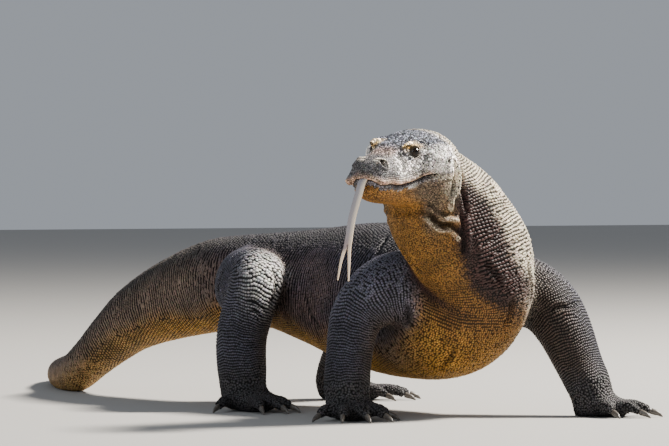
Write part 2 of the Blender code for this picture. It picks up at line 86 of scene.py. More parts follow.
# distance back from the muzzle, half width, rise above and drop below the line of the mouth
HEAD = (
    (-0.004, 0.016, 0.014, 0.016),
    (0.004, 0.031, 0.030, 0.032),
    (0.018, 0.0425, 0.038, 0.043),
    (0.042, 0.0455, 0.044, 0.052),
    (0.072, 0.0465, 0.052, 0.056),
    (0.100, 0.0505, 0.061, 0.060),
    (0.126, 0.0590, 0.069, 0.064),
    (0.156, 0.0740, 0.076, 0.070),
    (0.190, 0.0850, 0.080, 0.080),
    (0.222, 0.0830, 0.077, 0.090),
    (0.248, 0.0760, 0.063, 0.086),
    (0.272, 0.0600, 0.038, 0.070),
    (0.288, 0.0380, 0.012, 0.045),
)
HEAD_YAW, HEAD_PITCH, HEAD_ROLL = math.radians(21), math.radians(5), math.radians(4)
# places on the head: back from the muzzle, out to each side, and up from the line of the mouth
EYE, EYE_RADIUS = (0.1165, 0.0430, 0.0450), 0.0112
EYE_BACK, EYE_SIDE, EYE_UP = EYE
SOLID_EYE = (0.1130, 0.0420, 0.0455)
NOSTRIL = (0.0212, 0.0305, 0.0292)
NOSTRIL_BACK, _, NOSTRIL_UP = NOSTRIL
EAR_BACK, EAR_UP = 0.176, 0.0200
# where the lids open, as a direction out of the eye, and how wide and high, as shares of its radius
LID_GAZE, LID_OPENING = (-0.45, 0.89, 0.0), (0.78, 0.67)
# distance back and height of the line of the mouth
MOUTH_LINE = (
    (-0.030, -0.002),
    (0.006, -0.003),
    (0.030, -0.010),
    (0.062, -0.016),
    (0.100, -0.012),
    (0.140, -0.001),
    (0.180, 0.001),
    (0.240, 0.000),
    (0.300, 0.000),
)
# joint centres and radii of each leg, from inside the trunk to the wrist or ankle
LEGS = {
    "right_fore": (
        (-0.085, -0.072, 0.258, 0.078),
        (-0.142, -0.064, 0.258, 0.073),
        (-0.186, -0.052, 0.238, 0.062),
        (-0.219, -0.041, 0.196, 0.051),
        (-0.242, -0.049, 0.122, 0.045),
        (-0.258, -0.062, 0.056, 0.045),
    ),
    "left_fore": (
        (0.085, -0.105, 0.255, 0.078),
        (0.138, -0.138, 0.250, 0.072),
        (0.167, -0.176, 0.226, 0.063),
        (0.180, -0.212, 0.180, 0.056),
        (0.192, -0.248, 0.106, 0.047),
        (0.198, -0.276, 0.052, 0.044),
    ),
    "right_hind": (
        (-0.055, 0.480, 0.255, 0.088),
        (-0.106, 0.452, 0.256, 0.080),
        (-0.148, 0.395, 0.266, 0.068),
        (-0.182, 0.335, 0.266, 0.056),
        (-0.216, 0.342, 0.156, 0.053),
        (-0.223, 0.330, 0.056, 0.049),
    ),
    "left_hind": (
        (0.050, 0.500, 0.255, 0.088),
        (0.098, 0.486, 0.256, 0.078),
        (0.152, 0.466, 0.264, 0.067),
        (0.207, 0.456, 0.246, 0.055),
        (0.213, 0.505, 0.150, 0.050),
        (0.200, 0.550, 0.056, 0.046),
    ),
}
# direction that each leg's sections are squared to
LEG_ACROSS = {
    "right_fore": (0, -1, 0.05),
    "left_fore": (0, -1, 0.05),
    "right_hind": (0.8, -0.5, -0.25),
    "left_hind": (0.2, 0.8, 0.4),
}
# degrees that each foot points outwards
FOOT_TURN = {"right_fore": 22, "left_fore": 44, "right_hind": 8, "left_hind": 40}
# feet: distance along from the ankle, height of the centre, half width, rise above and drop below
SOLES = {
    "fore": (
        (-0.036, 0.032, 0.024, 0.022, 0.034),
        (-0.010, 0.034, 0.042, 0.040, 0.036),
        (0.026, 0.027, 0.045, 0.028, 0.029),
        (0.056, 0.020, 0.043, 0.018, 0.022),
        (0.074, 0.014, 0.030, 0.010, 0.016),
    ),
    "hind": (
        (-0.046, 0.030, 0.026, 0.024, 0.032),
        (-0.014, 0.036, 0.043, 0.042, 0.038),
        (0.030, 0.028, 0.046, 0.030, 0.030),
        (0.068, 0.020, 0.043, 0.018, 0.022),
        (0.088, 0.014, 0.030, 0.010, 0.016),
    ),
}
# toes: degrees outwards of the foot, start along and across it, length
TOES = {
    "fore": (
        (-52, 0.022, -0.034, 0.048),
        (-24, 0.052, -0.026, 0.056),
        (-2, 0.060, -0.004, 0.062),
        (20, 0.056, 0.020, 0.058),
        (50, 0.026, 0.036, 0.048),
    ),
    "hind": (
        (-44, 0.030, -0.034, 0.046),
        (-22, 0.060, -0.026, 0.062),
        (-3, 0.072, -0.006, 0.078),
        (16, 0.068, 0.016, 0.086),
        (54, 0.018, 0.038, 0.060),
    ),
}
# from the foot to the claw: radii of a toe, and heights of its centre line
TOE_RADII, TOE_LIFTS = (0.0150, 0.0135, 0.0118, 0.0098), (0.018, 0.023, 0.021, 0.0125)
# folds of head and throat, on both sides: depth (a ridge is below nought), width, and course in mm
HEAD_FOLDS = (
    # ridge from the front corner of the eye
    (-0.0016, 0.0020, ((-295, -302, 531), (-287, -305, 524), (-274, -302, 515), (-272, -304, 507))),
    # and the crease under it
    (0.0014, 0.0018, ((-293, -300, 524), (-287, -303, 514), (-277, -304, 505))),
    # fold under the lower lid
    (-0.0010, 0.0018, ((-299, -303, 516), (-291, -305, 505), (-278, -304, 500), (-265, -304, 501))),
    # bony edge over the eye
    (-0.0026, 0.0030, ((-307, -297, 537), (-302, -304, 544), (-284, -299, 548), (-257, -285, 550),
     (-248, -290, 548), (-249, -298, 541))),
    # dip behind the eye
    (0.0010, 0.0035, ((-241, -288, 551), (-249, -305, 536), (-252, -310, 518), (-255, -307, 505))),
    # creases above the upper lip
    (0.0008, 0.0014, ((-373, -324, 493), (-350, -323, 485), (-313, -310, 483), (-280, -304, 487),
     (-254, -306, 498))),
    (0.0007, 0.0013, ((-367, -322, 500), (-339, -319, 492), (-303, -308, 491), (-275, -304, 495),
     (-255, -307, 505))),
    (0.0008, 0.0014, ((-388, -318, 487), (-372, -330, 480), (-332, -317, 475), (-300, -307, 476))),
    # creases at the corner of the mouth
    (0.0014, 0.0018, ((-246, -302, 468), (-228, -305, 476), (-211, -306, 480), (-195, -304, 481))),
    (0.0012, 0.0018, ((-230, -301, 461), (-214, -303, 468), (-199, -304, 474), (-188, -302, 475))),
    # swell of the lower lip
    (-0.0012, 0.0035, ((-317, -307, 457), (-299, -303, 461), (-282, -300, 462), (-268, -298, 460))),
    # hinder edge of the head
    (-0.0028, 0.0040, ((-207, -283, 562), (-203, -305, 544), (-202, -315, 518), (-190, -304, 495),
     (-188, -302, 472))),
    # folds behind the head
    (0.0085, 0.0050, ((-202, -282, 562), (-197, -304, 540), (-193, -309, 522), (-183, -302, 503),
     (-179, -301, 479), (-181, -302, 460), (-184, -301, 437))),
    (-0.0060, 0.0042, ((-185, -301, 522), (-177, -299, 507), (-172, -299, 487), (-172, -301, 468),
     (-176, -302, 452), (-183, -301, 439), (-185, -299, 423), (-185, -297, 407))),
    (0.0075, 0.0048, ((-169, -294, 513), (-160, -296, 491), (-161, -300, 470), (-157, -301, 446),
     (-151, -301, 425), (-146, -300, 405))),
    # fold across the throat
    (-0.0080, 0.0045, ((-202, -289, 398), (-193, -293, 401), (-181, -296, 400), (-164, -298, 397))),
    (0.0095, 0.0055, ((-237, -267, 416), (-223, -281, 405), (-209, -284, 392), (-195, -289, 387),
     (-180, -293, 386), (-165, -293, 376), (-150, -293, 362))),
    (-0.0060, 0.0042, ((-237, -267, 408), (-225, -276, 399), (-212, -280, 386), (-199, -285, 379),
     (-178, -291, 378), (-163, -290, 366), (-151, -291, 358))),
    (0.0022, 0.0035, ((-239, -281, 435), (-223, -286, 425), (-207, -292, 413), (-192, -295, 409))),
    # side of the throat
    (0.0080, 0.0055, ((-162, -301, 421), (-156, -299, 397), (-150, -295, 372), (-144, -290, 346),
     (-145, -284, 327))),
)
# folds of the rest, as the walking pose makes them
BODY_FOLDS = (
    # right shoulder
    (0.0050, 0.0060, ((-65, 50, 362), (-82, 38, 350), (-98, 32, 336), (-110, 27, 322))),
    (0.0060, 0.0060, ((-226, -191, 348), (-212, -189, 332), (-197, -184, 318), (-185, -191, 302),
     (-176, -205, 291))),
    # chest
    (0.0055, 0.0060, ((-158, -128, 231), (-150, -122, 215), (-140, -110, 199), (-134, -97, 184))),
    # left armpit
    (0.0080, 0.0065, ((-9, -273, 238), (0, -263, 220), (4, -251, 201), (0, -238, 183))),
    (0.0055, 0.0060, ((32, -273, 313), (43, -267, 287), (64, -248, 256), (68, -238, 230))),
    (0.0045, 0.0050, ((128, -230, 215), (145, -243, 221), (166, -250, 222), (202, -240, 232))),
    # belly and flank
    (0.0028, 0.0050, ((-74, -177, 145), (-68, -160, 129), (-63, -139, 114), (-57, -110, 99))),
    (0.0030, 0.0060, ((-134, 231, 243), (-134, 224, 223), (-132, 214, 198), (-127, 194, 176))),
    # right knee and thigh
    (0.0032, 0.0045, ((-236, 298, 231), (-225, 289, 227), (-211, 283, 217), (-198, 283, 204))),
    (0.0030, 0.0040, ((-228, 291, 211), (-217, 286, 205), (-207, 285, 194))),
    (0.0045, 0.0065, ((-176, 288, 295), (-175, 280, 266), (-180, 280, 237), (-194, 282, 212))),
    (0.0030, 0.0070, ((-206, 411, 293), (-200, 440, 267), (-189, 459, 235))),
    # left side of the neck
    (0.0030, 0.0050, ((-40, -291, 393), (-58, -296, 373), (-80, -298, 358), (-100, -298, 350))),
    (0.0028, 0.0045, ((9, -279, 367), (-22, -291, 349), (-50, -296, 340), (-74, -297, 334))),
    (0.0040, 0.0055, ((-95, -292, 315), (-79, -291, 303), (-62, -290, 289), (-49, -286, 271))),
)


def unit(v):
    return v / np.linalg.norm(v, axis=-1, keepdims=True)


def head_axes():
    """Backward, left and up of the head."""
    forward = Vector((-math.cos(HEAD_YAW), -math.sin(HEAD_YAW), 0))
    left = Vector((0, 0, 1)).cross(forward)
    forward = Matrix.Rotation(HEAD_PITCH, 3, left) @ forward
    left = Matrix.Rotation(-HEAD_ROLL, 3, forward) @ left
    return np.array((-forward, left, forward.cross(left)))


AXES = head_axes()
low, high = (np.array(corner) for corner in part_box("left_eye"))
MUZZLE = (low + high) / 2 - AXES.T @ np.array(SOLID_EYE)
SHIFT = MUZZLE - np.array((-0.3986, -0.2949, 0.4780))  # from the sizes' own frame to the solids'


def in_head(back, side, up):
    """A point given by its distance back from the muzzle, to the left and up."""
    return MUZZLE + AXES.T @ np.array((back, side, up))


def of_head(points):
    """Distance back, left and up of points, in the head's own frame."""
    return ((points - MUZZLE) @ AXES.T).T


def spline(rows, at):
    """Rows of numbers joined by a smooth curve and read at places along it."""
    rows = np.asarray(rows, float)
    first = np.clip(np.floor(at).astype(int), 0, len(rows) - 2)
    f = (at - first)[:, None]
    a, b, c, d = (rows[np.clip(first + k, 0, len(rows) - 1)] for k in (-1, 0, 1, 2))
    bend, twist = 2 * a - 5 * b + 4 * c - d, 3 * b - a - 3 * c + d
    return 0.5 * (2 * b + f * (c - a) + f**2 * bend + f**3 * twist)


class Limb:
    """A length of body: a curved axis with a rounded section that changes along it."""

    def __init__(self, name, rows, across, square=2.2):
        self.name, self.square = name, square
        fine = spline(rows, np.linspace(0, len(rows) - 1, 40 * (len(rows) - 1) + 1))
        steps = np.linalg.norm(np.diff(fine[:, :3], axis=0), axis=1)
        self.run = np.concatenate(([0], np.cumsum(steps)))
        self.fine = fine
        self.length = self.run[-1]
        self.across = np.array(across, float)

    def at(self, s):
        """Centres, headings, sides, tops and section sizes at distances s along the axis."""
        s = np.atleast_1d(s)
        rows = np.stack([np.interp(s, self.run, self.fine[:, k]) for k in range(6)], axis=1)
        behind, before = (
            np.stack([np.interp(s + step, self.run, self.fine[:, k]) for k in range(3)], axis=1)
            for step in (-0.006, 0.006)
        )
        ahead = unit(before - behind)
        side = unit(np.cross(ahead, self.across))
        return rows[:, :3], ahead, side, np.cross(side, ahead), rows[:, 3:]

    def outline(self, s, angle):
        """Points on the surface at distances s and angles round from the left, top at 90 degrees."""
        centre, ahead, side, top, size = self.at(s)
        c, n = np.cos(angle), np.sin(angle)
        power = 2 / self.square
        x = size[:, 0] * np.sign(c) * np.abs(c) ** power
        y = np.where(n > 0, size[:, 1], size[:, 2]) * np.sign(n) * np.abs(n) ** power
        return centre + side * x[:, None] + top * y[:, None]

    def girth(self, s, count=48):
        """Angles round one section and how far round each lies."""
        angle = np.linspace(-np.pi / 2, 1.5 * np.pi, count + 1)
        ring = self.outline(np.full(count + 1, s), angle)
        way = np.concatenate(([0], np.cumsum(np.linalg.norm(np.diff(ring, axis=0), axis=1))))
        return angle, way

    def build(self, sides, spacing):
        """The limb as a closed tube."""
        rings = max(4, int(self.length / spacing))
        s = np.linspace(0, self.length, rings)
        angle = np.arange(sides) * 2 * np.pi / sides
        points = self.outline(np.repeat(s, sides), np.tile(angle, rings))
        faces = []
        for r in range(0, (rings - 1) * sides, sides):
            for k in range(sides):
                n = (k + 1) % sides
                faces.append((r + k, r + n, r + sides + n, r + sides + k))
        faces.append(tuple(range(sides)))
        faces.append(tuple(range((rings - 1) * sides, rings * sides)))
        return mesh_object(self.name, points, faces)


def mesh_object(name, points, faces):
    """A new object from points and faces, its faces turned outwards."""
    mesh = bpy.data.meshes.new(name)
    mesh.from_pydata([tuple(p) for p in points], [], faces)
    bm = bmesh.new()
    bm.from_mesh(mesh)
    bmesh.ops.recalc_face_normals(bm, faces=bm.faces)
    bm.to_mesh(mesh)
    bm.free()
    obj = bpy.data.objects.new(name, mesh)
    bpy.context.scene.collection.objects.link(obj)
    return obj


def moved(rows):
    """Rows of a limb, shifted into the frame of the solids."""
    return [(*(np.array(row[:3]) + SHIFT), *row[3:]) for row in rows]


def foot_axes(leg):
    """Along the foot and outwards across it, level with the floor."""
    outwards = -1 if leg.startswith("right") else 1
    turn = math.radians(FOOT_TURN[leg])
    along = np.array((outwards * math.sin(turn), -math.cos(turn), 0))
    return along, np.array((outwards * math.cos(turn), math.sin(turn), 0))


def toe_rows(leg, toe):
    """Heading of one toe, and the centre line and radii from the foot to the root of its claw."""
    angle, start_along, start_across, length = toe
    along, across = foot_axes(leg)
    root = np.array((*LEGS[leg][-1][:2], 0)) + SHIFT
    start = root + along * start_along + across * start_across
    turn = math.radians(angle)
    heading = along * math.cos(turn) + across * math.sin(turn)
    rows = [
        (*(start + heading * (length * k / 3) + np.array((0, 0, lift))), radius, radius, radius)
        for k, (lift, radius) in enumerate(zip(TOE_LIFTS, TOE_RADII))
    ]
    return heading, rows


def all_limbs():
    """Every limb of the body, by name."""
    made = [Limb("spine", moved(SPINE), (0, 0, 1), 2.15)]
    rows = [(*in_head(back, 0, 0), *size) for back, *size in HEAD]
    made.append(Limb("skull", rows, AXES[2], 2.35))
    for leg, joints in LEGS.items():
        rows = [(*joint, joint[3], joint[3]) for joint in joints]
        x, y, z, *girth = rows[-1]
        rows.append((x, y, z - 0.034, *(radius * 0.72 for radius in girth)))
        made.append(Limb(leg, moved(rows), LEG_ACROSS[leg]))
        along, _ = foot_axes(leg)
        root = np.array((*joints[-1][:2], 0)) + SHIFT
        kind = leg.split("_")[1]
        sole = [(*(root + along * far + np.array((0, 0, z))), *girth) for far, z, *girth in SOLES[kind]]
        made.append(Limb(leg + "_sole", sole, (0, 0, 1)))
        for number, toe in enumerate(TOES[kind], 1):
            made.append(Limb(f"{leg}_toe_{number}", toe_rows(leg, toe)[1], (0, 0, 1)))
    return {limb.name: limb for limb in made}


limbs = all_limbs()


def swelling(centre, radii):
    """A ball stretched along the head's own axes, for a brow, a cheek or the nose."""
    bpy.ops.mesh.primitive_uv_sphere_add(segments=24, ring_count=12, radius=1)
    ball = bpy.context.object
    turn = Matrix((-Vector(AXES[0]), Vector(AXES[1]), Vector(AXES[2]))).transposed().to_4x4()
    ball.data.transform(Matrix.Translation(centre) @ turn @ Matrix.Diagonal((*radii, 1)))
    return ball


def one_skin(pieces, name, grain, steps):
    """Pieces joined, wrapped in one skin of the given grain, and smoothed."""
    bpy.ops.object.select_all(action="DESELECT")
    for obj in pieces:
        obj.select_set(True)
    bpy.context.view_layer.objects.active = pieces[0]
    bpy.ops.object.join()
    made = bpy.context.object
    made.name = made.data.name = name
    remesh = made.modifiers.new("one_skin", "REMESH")
    remesh.mode = "VOXEL"
    remesh.voxel_size = grain
    smooth = made.modifiers.new("soften", "SMOOTH")
    smooth.iterations = steps
    for modifier in list(made.modifiers):
        bpy.ops.object.modifier_apply(modifier=modifier.name)
    made.select_set(False)
    return made


# swellings on each side of the head: place back, aside and up, and half sizes along the head's axes
SWELLINGS = (
    ((EYE_BACK - 0.005, 0.040, EYE_UP + 0.0125), (0.026, 0.012, 0.0085)),  # brow
    ((NOSTRIL_BACK + 0.005, 0.024, 0.029), (0.016, 0.0125, 0.012)),  # nose
    ((0.172, 0.060, 0.030), (0.040, 0.030, 0.036)),  # jaw muscle
    ((0.014, 0.030, -0.005), (0.022, 0.0185, 0.0120)),  # upper lip
)


def lay_up_hide():
    """All limbs and the head's swellings under one skin."""
    bpy.ops.object.select_all(action="DESELECT")
    made = []
    for name, limb in limbs.items():
        sides = 48 if name in ("spine", "skull") else 16 if "toe" in name else 28
        made.append(limb.build(sides, 0.012 if name == "spine" else 0.005))
    for sign in (-1, 1):
        for (back, side, up), radii in SWELLINGS:
            made.append(swelling(in_head(back, sign * side, up), radii))
    return one_skin(made, "hide", HIDE_GRAIN, HIDE_STEPS)


hide = lay_up_hide()


def points_of(obj, kind="co"):
    """The vertices' places, or their normals, as an array."""
    found = np.empty(len(obj.data.vertices) * 3)
    obj.data.vertices.foreach_get(kind, found)
    return found.reshape(-1, 3)


def normals_of(obj):
    return points_of(obj, "normal")


def shade_smooth(obj):
    obj.data.polygons.foreach_set("use_smooth", np.ones(len(obj.data.polygons), bool))


def set_points(obj, points):
    """Moves the vertices of obj to new places."""
    obj.data.vertices.foreach_set("co", points.ravel())
    obj.data.update()


def finer(obj, wanted):
    """Splits each face whose middle is wanted into four."""
    bm = bmesh.new()
    bm.from_mesh(obj.data)
    middles = np.array([face.calc_center_median() for face in bm.faces])
    chosen = [face for face, keep in zip(bm.faces, wanted(middles)) if keep]
    edges = list({edge for face in chosen for edge in face.edges})
    bmesh.ops.subdivide_edges(bm, edges=edges, cuts=1, use_grid_fill=True)
    bm.to_mesh(obj.data)
    bm.free()


def near(points, spot, reach):
    """True within reach of a spot of the head or its mirror image."""
    back, side, up = of_head(points)
    return (back - spot[0]) ** 2 + (np.abs(side) - spot[1]) ** 2 + (up - spot[2]) ** 2 < reach**2


def nostril_gap(back, up):
    """Distance from the middle of the nostril, seen from the side."""
    return np.hypot((back - NOSTRIL_BACK) * 1.15, (up - NOSTRIL_UP) * 1.05)


def ease(value, start, end):
    """0 before start, 1 after end, smooth between."""
    f = np.clip((value - start) / (end - start), 0, 1)
    return f * f * (3 - 2 * f)


def bell(value, width):
    return np.exp(-((value / width) ** 2))


# a close-set copy of the line of the mouth
mouth_curve = spline(MOUTH_LINE, np.linspace(0, len(MOUTH_LINE) - 1, 160))


def mouth_height(back, side=0.05):
    """Height of the line of the mouth: it droops at the corners of the snout, more on the right."""
    droop = np.where(side < 0, -0.0150, -0.0080) * bell(back - 0.008, 0.016)
    droop = droop * ease(np.abs(side), 0.014, 0.034)
    return np.interp(back, mouth_curve[:, 0], mouth_curve[:, 1]) + droop


def near_lips(points, reach):
    back, side, up = of_head(points)
    return (back < 0.165) & (np.abs(up - mouth_height(back, side)) < reach) & (np.abs(side) < 0.1)


def evened(obj, values, share, times):
    """Values at the vertices of obj, each drawn by its share towards the mean of its neighbours."""
    edges = np.empty(len(obj.data.edges) * 2, int)
    obj.data.edges.foreach_get("vertices", edges)
    a, b = edges.reshape(-1, 2).T
    links = np.bincount(np.concatenate((a, b)), minlength=len(values))[:, None]
    for _ in range(times):
        total = np.zeros_like(values)
        np.add.at(total, a, values[b])
        np.add.at(total, b, values[a])
        values = values + (total / links - values) * share[:, None]
    return values


def smooth_points(obj, weight, times):
    """Evens out the skin where weight is above nought."""
    set_points(obj, evened(obj, points_of(obj), weight * 0.5, times))


def in_face(points, reach):
    """True ahead of reach behind the muzzle, and not so low as the legs."""
    back, _, up = of_head(points)
    return (back < reach) & (up > -0.13)


finer(hide, lambda p: in_face(p, 0.215))
smooth_points(hide, in_face(points_of(hide), 0.21) * 1.0, 3)
finer(hide, lambda p: near(p, EYE, 0.021) | near(p, NOSTRIL, 0.013) | near_lips(p, 0.0065))
smooth_points(hide, in_face(points_of(hide), 0.18) * 1.0, 2)
finer(hide, lambda p: near(p, EYE, 0.0165))


# ---- a chart of the body: the limb, place along and angle round of any point of the hide
CHARTED = [name for name in limbs if name != "skull"]


def chart_points():
    """Points over every limb's surface with their limb, distance along, angle round and heading."""
    places, labels, values, headings = [], [], [], []
    for index, name in enumerate(CHARTED):
        limb = limbs[name]
        count = 60 if name == "spine" else 16 if "toe" in name else 32
        rings = max(6, int(limb.length / 0.009))
        s = np.repeat(np.linspace(0, limb.length, rings), count)
        angle = np.tile(np.arange(count) * 2 * np.pi / count, rings)
        places.append(limb.outline(s, angle))
        headings.append(limb.at(s)[1])
        labels.append(np.full(len(s), index))
        values.append(np.stack((s, angle), axis=1))
    return (np.concatenate(group) for group in (places, labels, values, headings))


def tree_of(places):
    """A tree that finds the nearest of many places."""
    tree = KDTree(len(places))
    for number, place in enumerate(places):
        tree.insert(place, number)
    tree.balance()
    return tree


chart_place, chart_limb, chart_value, chart_heading = chart_points()
chart_tree = tree_of(chart_place)


def charted(points):
    """Limb number, distance along, angle round and heading of each point."""
    near = np.array([chart_tree.find(p)[1] for p in points])
    return chart_limb[near], chart_value[near, 0], chart_value[near, 1], chart_heading[near]


def from_root(points, leg):
    """Distance of points from where a leg leaves the trunk."""
    return np.linalg.norm(points - limbs[leg].at(0.07)[0][0], axis=1)


def ease_joints(obj):
    """Softens the hide where legs leave the trunk and where they meet the feet."""
    points = points_of(obj)
    number, s, _, _ = charted(points)
    weight = np.zeros(len(points))
    for leg in LEGS:
        weight = np.maximum(weight, bell(from_root(points, leg), 0.085))
        mine = np.isin(number, [CHARTED.index(leg), CHARTED.index(leg + "_sole")])
        weight = np.maximum(weight, mine * bell(points[:, 2] - 0.052, 0.022))
    smooth_points(obj, weight * 0.9, 12)


ease_joints(hide)


def fold_places(line):
    """Close-set places along one fold."""
    course = np.array(line) / 1000 + SHIFT
    return spline(course, np.linspace(0, len(line) - 1, 10 * (len(line) - 1) + 1))


def both_sides(places):
    """Places and their mirror image across the head."""
    back, side, up = of_head(places)
    return (places, MUZZLE + np.stack((back, -side, up), axis=1) @ AXES)


def all_folds():
    """Depth, width and places of every fold; those of head and throat are on both sides."""
    made = [(depth, width, fold_places(line)) for depth, width, line in BODY_FOLDS]
    for depth, width, line in HEAD_FOLDS:
        near, far = both_sides(fold_places(line))
        made += [(depth, width, near), (depth * (1.0 if abs(depth) < 0.003 else 0.12), width, far)]
    return made


folds = all_folds()
fold_tree = tree_of(np.concatenate([places for _, _, places in folds]))
finer(hide, lambda p: np.array([fold_tree.find(q)[2] < 0.011 for q in p]) & ~in_face(p, 0.21))
smooth_points(hide, np.full(len(hide.data.vertices), 0.5) * ~in_face(points_of(hide), 0.2), 1)


def press_folds(obj):
    """Presses grooves in between low swellings, raises ridges; gives painted shade, darker in grooves
    and paler on ridges, and painted highlights along the high ridges.
    """
    tree = BVHTree.FromObject(obj, bpy.context.evaluated_depsgraph_get())
    points, normals = points_of(obj), normals_of(obj)
    move, shade, edge = np.zeros(len(points)), np.zeros(len(points)), np.zeros(len(points))
    for depth, width, places in folds:
        places = np.array([tree.find_nearest(Vector(place))[0] for place in places])
        reach = 4 * width
        boxed = (points > places.min(axis=0) - reach) & (points < places.max(axis=0) + reach)
        here = np.flatnonzero(np.all(boxed, axis=1))
        gaps = np.linalg.norm(points[here][:, None] - places[None], axis=2)
        along = gaps.argmin(axis=1) / (len(places) - 1)
        gap = gaps.min(axis=1)
        taper = ease(along, 0, 0.22) * ease(1 - along, 0, 0.22)
        shape = bell(gap, width) - 0.34 * bell(gap - 2.1 * width, 0.9 * width)
        taper = (0.15 + 0.85 * taper) * (gap < reach)
        move[here] -= depth * shape * taper
        # painted shade: grooves darker, ridges paler; along the high ridges also a painted highlight
        shade[here] -= np.clip(depth / 0.0025, -0.7, 0.9) * shape * taper
        ridge = (depth < -0.0030) * bell(gap, width * 0.9) * ease(taper, 0.2, 0.6)
        edge[here] = np.maximum(edge[here], ridge)
    move[near(points, EYE, EYE_RADIUS + 0.0008)] = 0
    set_points(obj, points + normals * move[:, None])
    return shade, edge


def with_lips(points, normals):
    """Raises lips and ears and the swells of brow and cheek, and presses in the dips between them."""
    back, side, up = of_head(points)
    above = up - mouth_height(back, side)
    aside = np.abs(side)
    at_mouth = ease(-back, -0.172, -0.150)
    front = ease(-back, -0.050, -0.015)
    slit, tuck = 0.0050 - 0.0016 * front, 0.0026 + 0.0020 * front
    move = -slit * bell(above + 0.0004, 0.0019) * at_mouth  # between the lips
    move += 0.0027 * bell(above - 0.0052, 0.0046) * at_mouth  # upper lip
    move -= tuck * bell(above + 0.0070, 0.0060) * at_mouth * ease(-back, -0.105, -0.075)  # lower lip
    move += 0.0022 * bell(above + 0.0085, 0.0042) * bell(back - 0.104, 0.016)  # its swell
    move += 0.0026 * bell(above - 0.0060, 0.0050) * bell(back - 0.102, 0.018)  # and the upper lip's
    move -= 0.0036 * bell(above + 0.0030, 0.0040) * bell(back - 0.136, 0.016)  # corner of the mouth
    move -= 0.0026 * bell(back - 0.066, 0.022) * bell(up - 0.027, 0.012) * (aside > 0.02)  # cheek
    before_eye = 0.0028 * bell(back - 0.094, 0.0085) * bell(up - 0.041, 0.0085)
    move -= before_eye * (aside > 0.02)
    move += 0.0016 * bell(back - 0.150, 0.020) * bell(up - 0.034, 0.018)  # temple
    move -= 0.0016 * bell(side, 0.008) * ease(up, 0.03, 0.04) * bell(back - 0.085, 0.05)  # crown
    dip = np.hypot((back - EAR_BACK) / 0.0052, (up - EAR_UP) / 0.0110)
    move -= 0.0080 * ease(-dip, -1.15, -0.55) * (aside > 0.05)  # ear
    move += 0.0014 * bell(dip - 1.5, 0.45) * (aside > 0.05)  # and its rim
    return points + normals * (move * ease(-back, -0.24, -0.20))[:, None]


def with_nostrils(points, before):
    """Sinks each nostril inwards and raises a rim round it."""
    back, side, up = of_head(before)
    hole = nostril_gap(back, up)
    depth = 0.0120 * ease(-hole, -0.0078, -0.0044) - 0.0020 * bell(hole - 0.0098, 0.0022)
    for sign in (-1, 1):
        here = (side * sign > 0.010) & (hole < 0.016) & (up > 0.010)
        inward = AXES.T @ np.array((0.35, -1.0 * sign, -0.30))
        points = points + np.where(here, depth, 0)[:, None] * inward
    return points


def lid_gap(aim):
    """How far directions out of the eye point from the middle of the lids' opening: 1 at its edge."""
    gaze = unit(np.array(LID_GAZE))
    across, high = aim @ np.cross(gaze, (0, 0, 1)), aim[:, 2] - gaze[2]
    return np.hypot(across / LID_OPENING[0], high / LID_OPENING[1]) + 9 * (aim @ gaze < 0.3)


def with_lids(points):
    """Draws the skin over the eye's ball as lids, opens them and hangs the brow over them."""
    back, side, up = of_head(points)
    around = np.stack((back - EYE_BACK, np.abs(side) - EYE_SIDE, up - EYE_UP), axis=1)
    far = np.linalg.norm(around, axis=1)
    aim = around / far[:, None]
    tilt = np.degrees(np.arccos(np.clip(aim @ unit(np.array((-0.34, 1.0, 0.04))), -1, 1)))
    zone = ease(-tilt, -86, -60) * (far < 0.024)
    opening = lid_gap(aim)
    inside = ease(-opening, -1.06, -0.94)
    lid = np.maximum(far, EYE_RADIUS + 0.0012 + 0.0008 * bell(opening - 1.22, 0.14))
    shell = lid * (1 - inside) + (EYE_RADIUS - 0.0016) * inside
    ahead, aside, above = (aim * (far + (shell - far) * zone)[:, None]).T
    hood = bell(above - 0.0122 + 0.08 * ahead, 0.0036) * bell(ahead + 0.001, 0.018) * 0.0036
    aside = aside + hood * (aside > -0.012) * (far < 0.03)
    placed = np.stack((ahead + EYE_BACK, (aside + EYE_SIDE) * np.sign(side), above + EYE_UP), axis=1)
    return np.where((far < 0.034)[:, None], MUZZLE + placed @ AXES, points)


plain_hide = points_of(hide)
set_points(hide, with_lids(with_nostrils(with_lips(plain_hide, normals_of(hide)), plain_hide)))
fold_shade, ridge_highlight = press_folds(hide)


def settle_hide(obj):
    """Draws the hide in by the depth of the scales and flattens it where it meets the floor."""
    points = points_of(obj) - normals_of(obj) * SCALE_DEPTH
    points[:, 2] = np.maximum(points[:, 2], HIDE_FLOOR)
    set_points(obj, points)


settle_hide(hide)

# ================================================================ scales
# Each scale is a small bony bead in the skin, closed and domed, its hinder edge a little proud.
# They run in rows across neck, back, belly, tail and legs, and are small and close on face and feet.
# They are laid row by row on the hide, and the gaps where limbs join are filled with odd ones.

GRID = 0.006
FACE_END, FACE_FLOOR = 0.21, -0.10  # how far behind the muzzle and below the mouth the face ends
FOOT_TOP = 0.075
SOLE_REACH, SOLE_TILT = 0.003, -0.5  # skin so low and facing so far down bears on the floor
ROW_ROOM = 0.74  # clear room round a scale in a row, as a share of the spacing across
ODD_LENGTH, ODD_WIDTH = 1.38, 1.20  # odd scales overlap a little beyond their room
scale_place, scale_out, scale_back, scale_size = [], [], [], []
taken = {}
hide_tree = BVHTree.FromObject(hide, bpy.context.evaluated_depsgraph_get())


def cell(point):
    """The box of a grid that a point lies in, under which its scale is kept."""
    return tuple(int(math.floor(c / GRID)) for c in point)


def on_face(points):
    back, _, up = of_head(points)
    return (back < FACE_END) & (up > FACE_FLOOR)


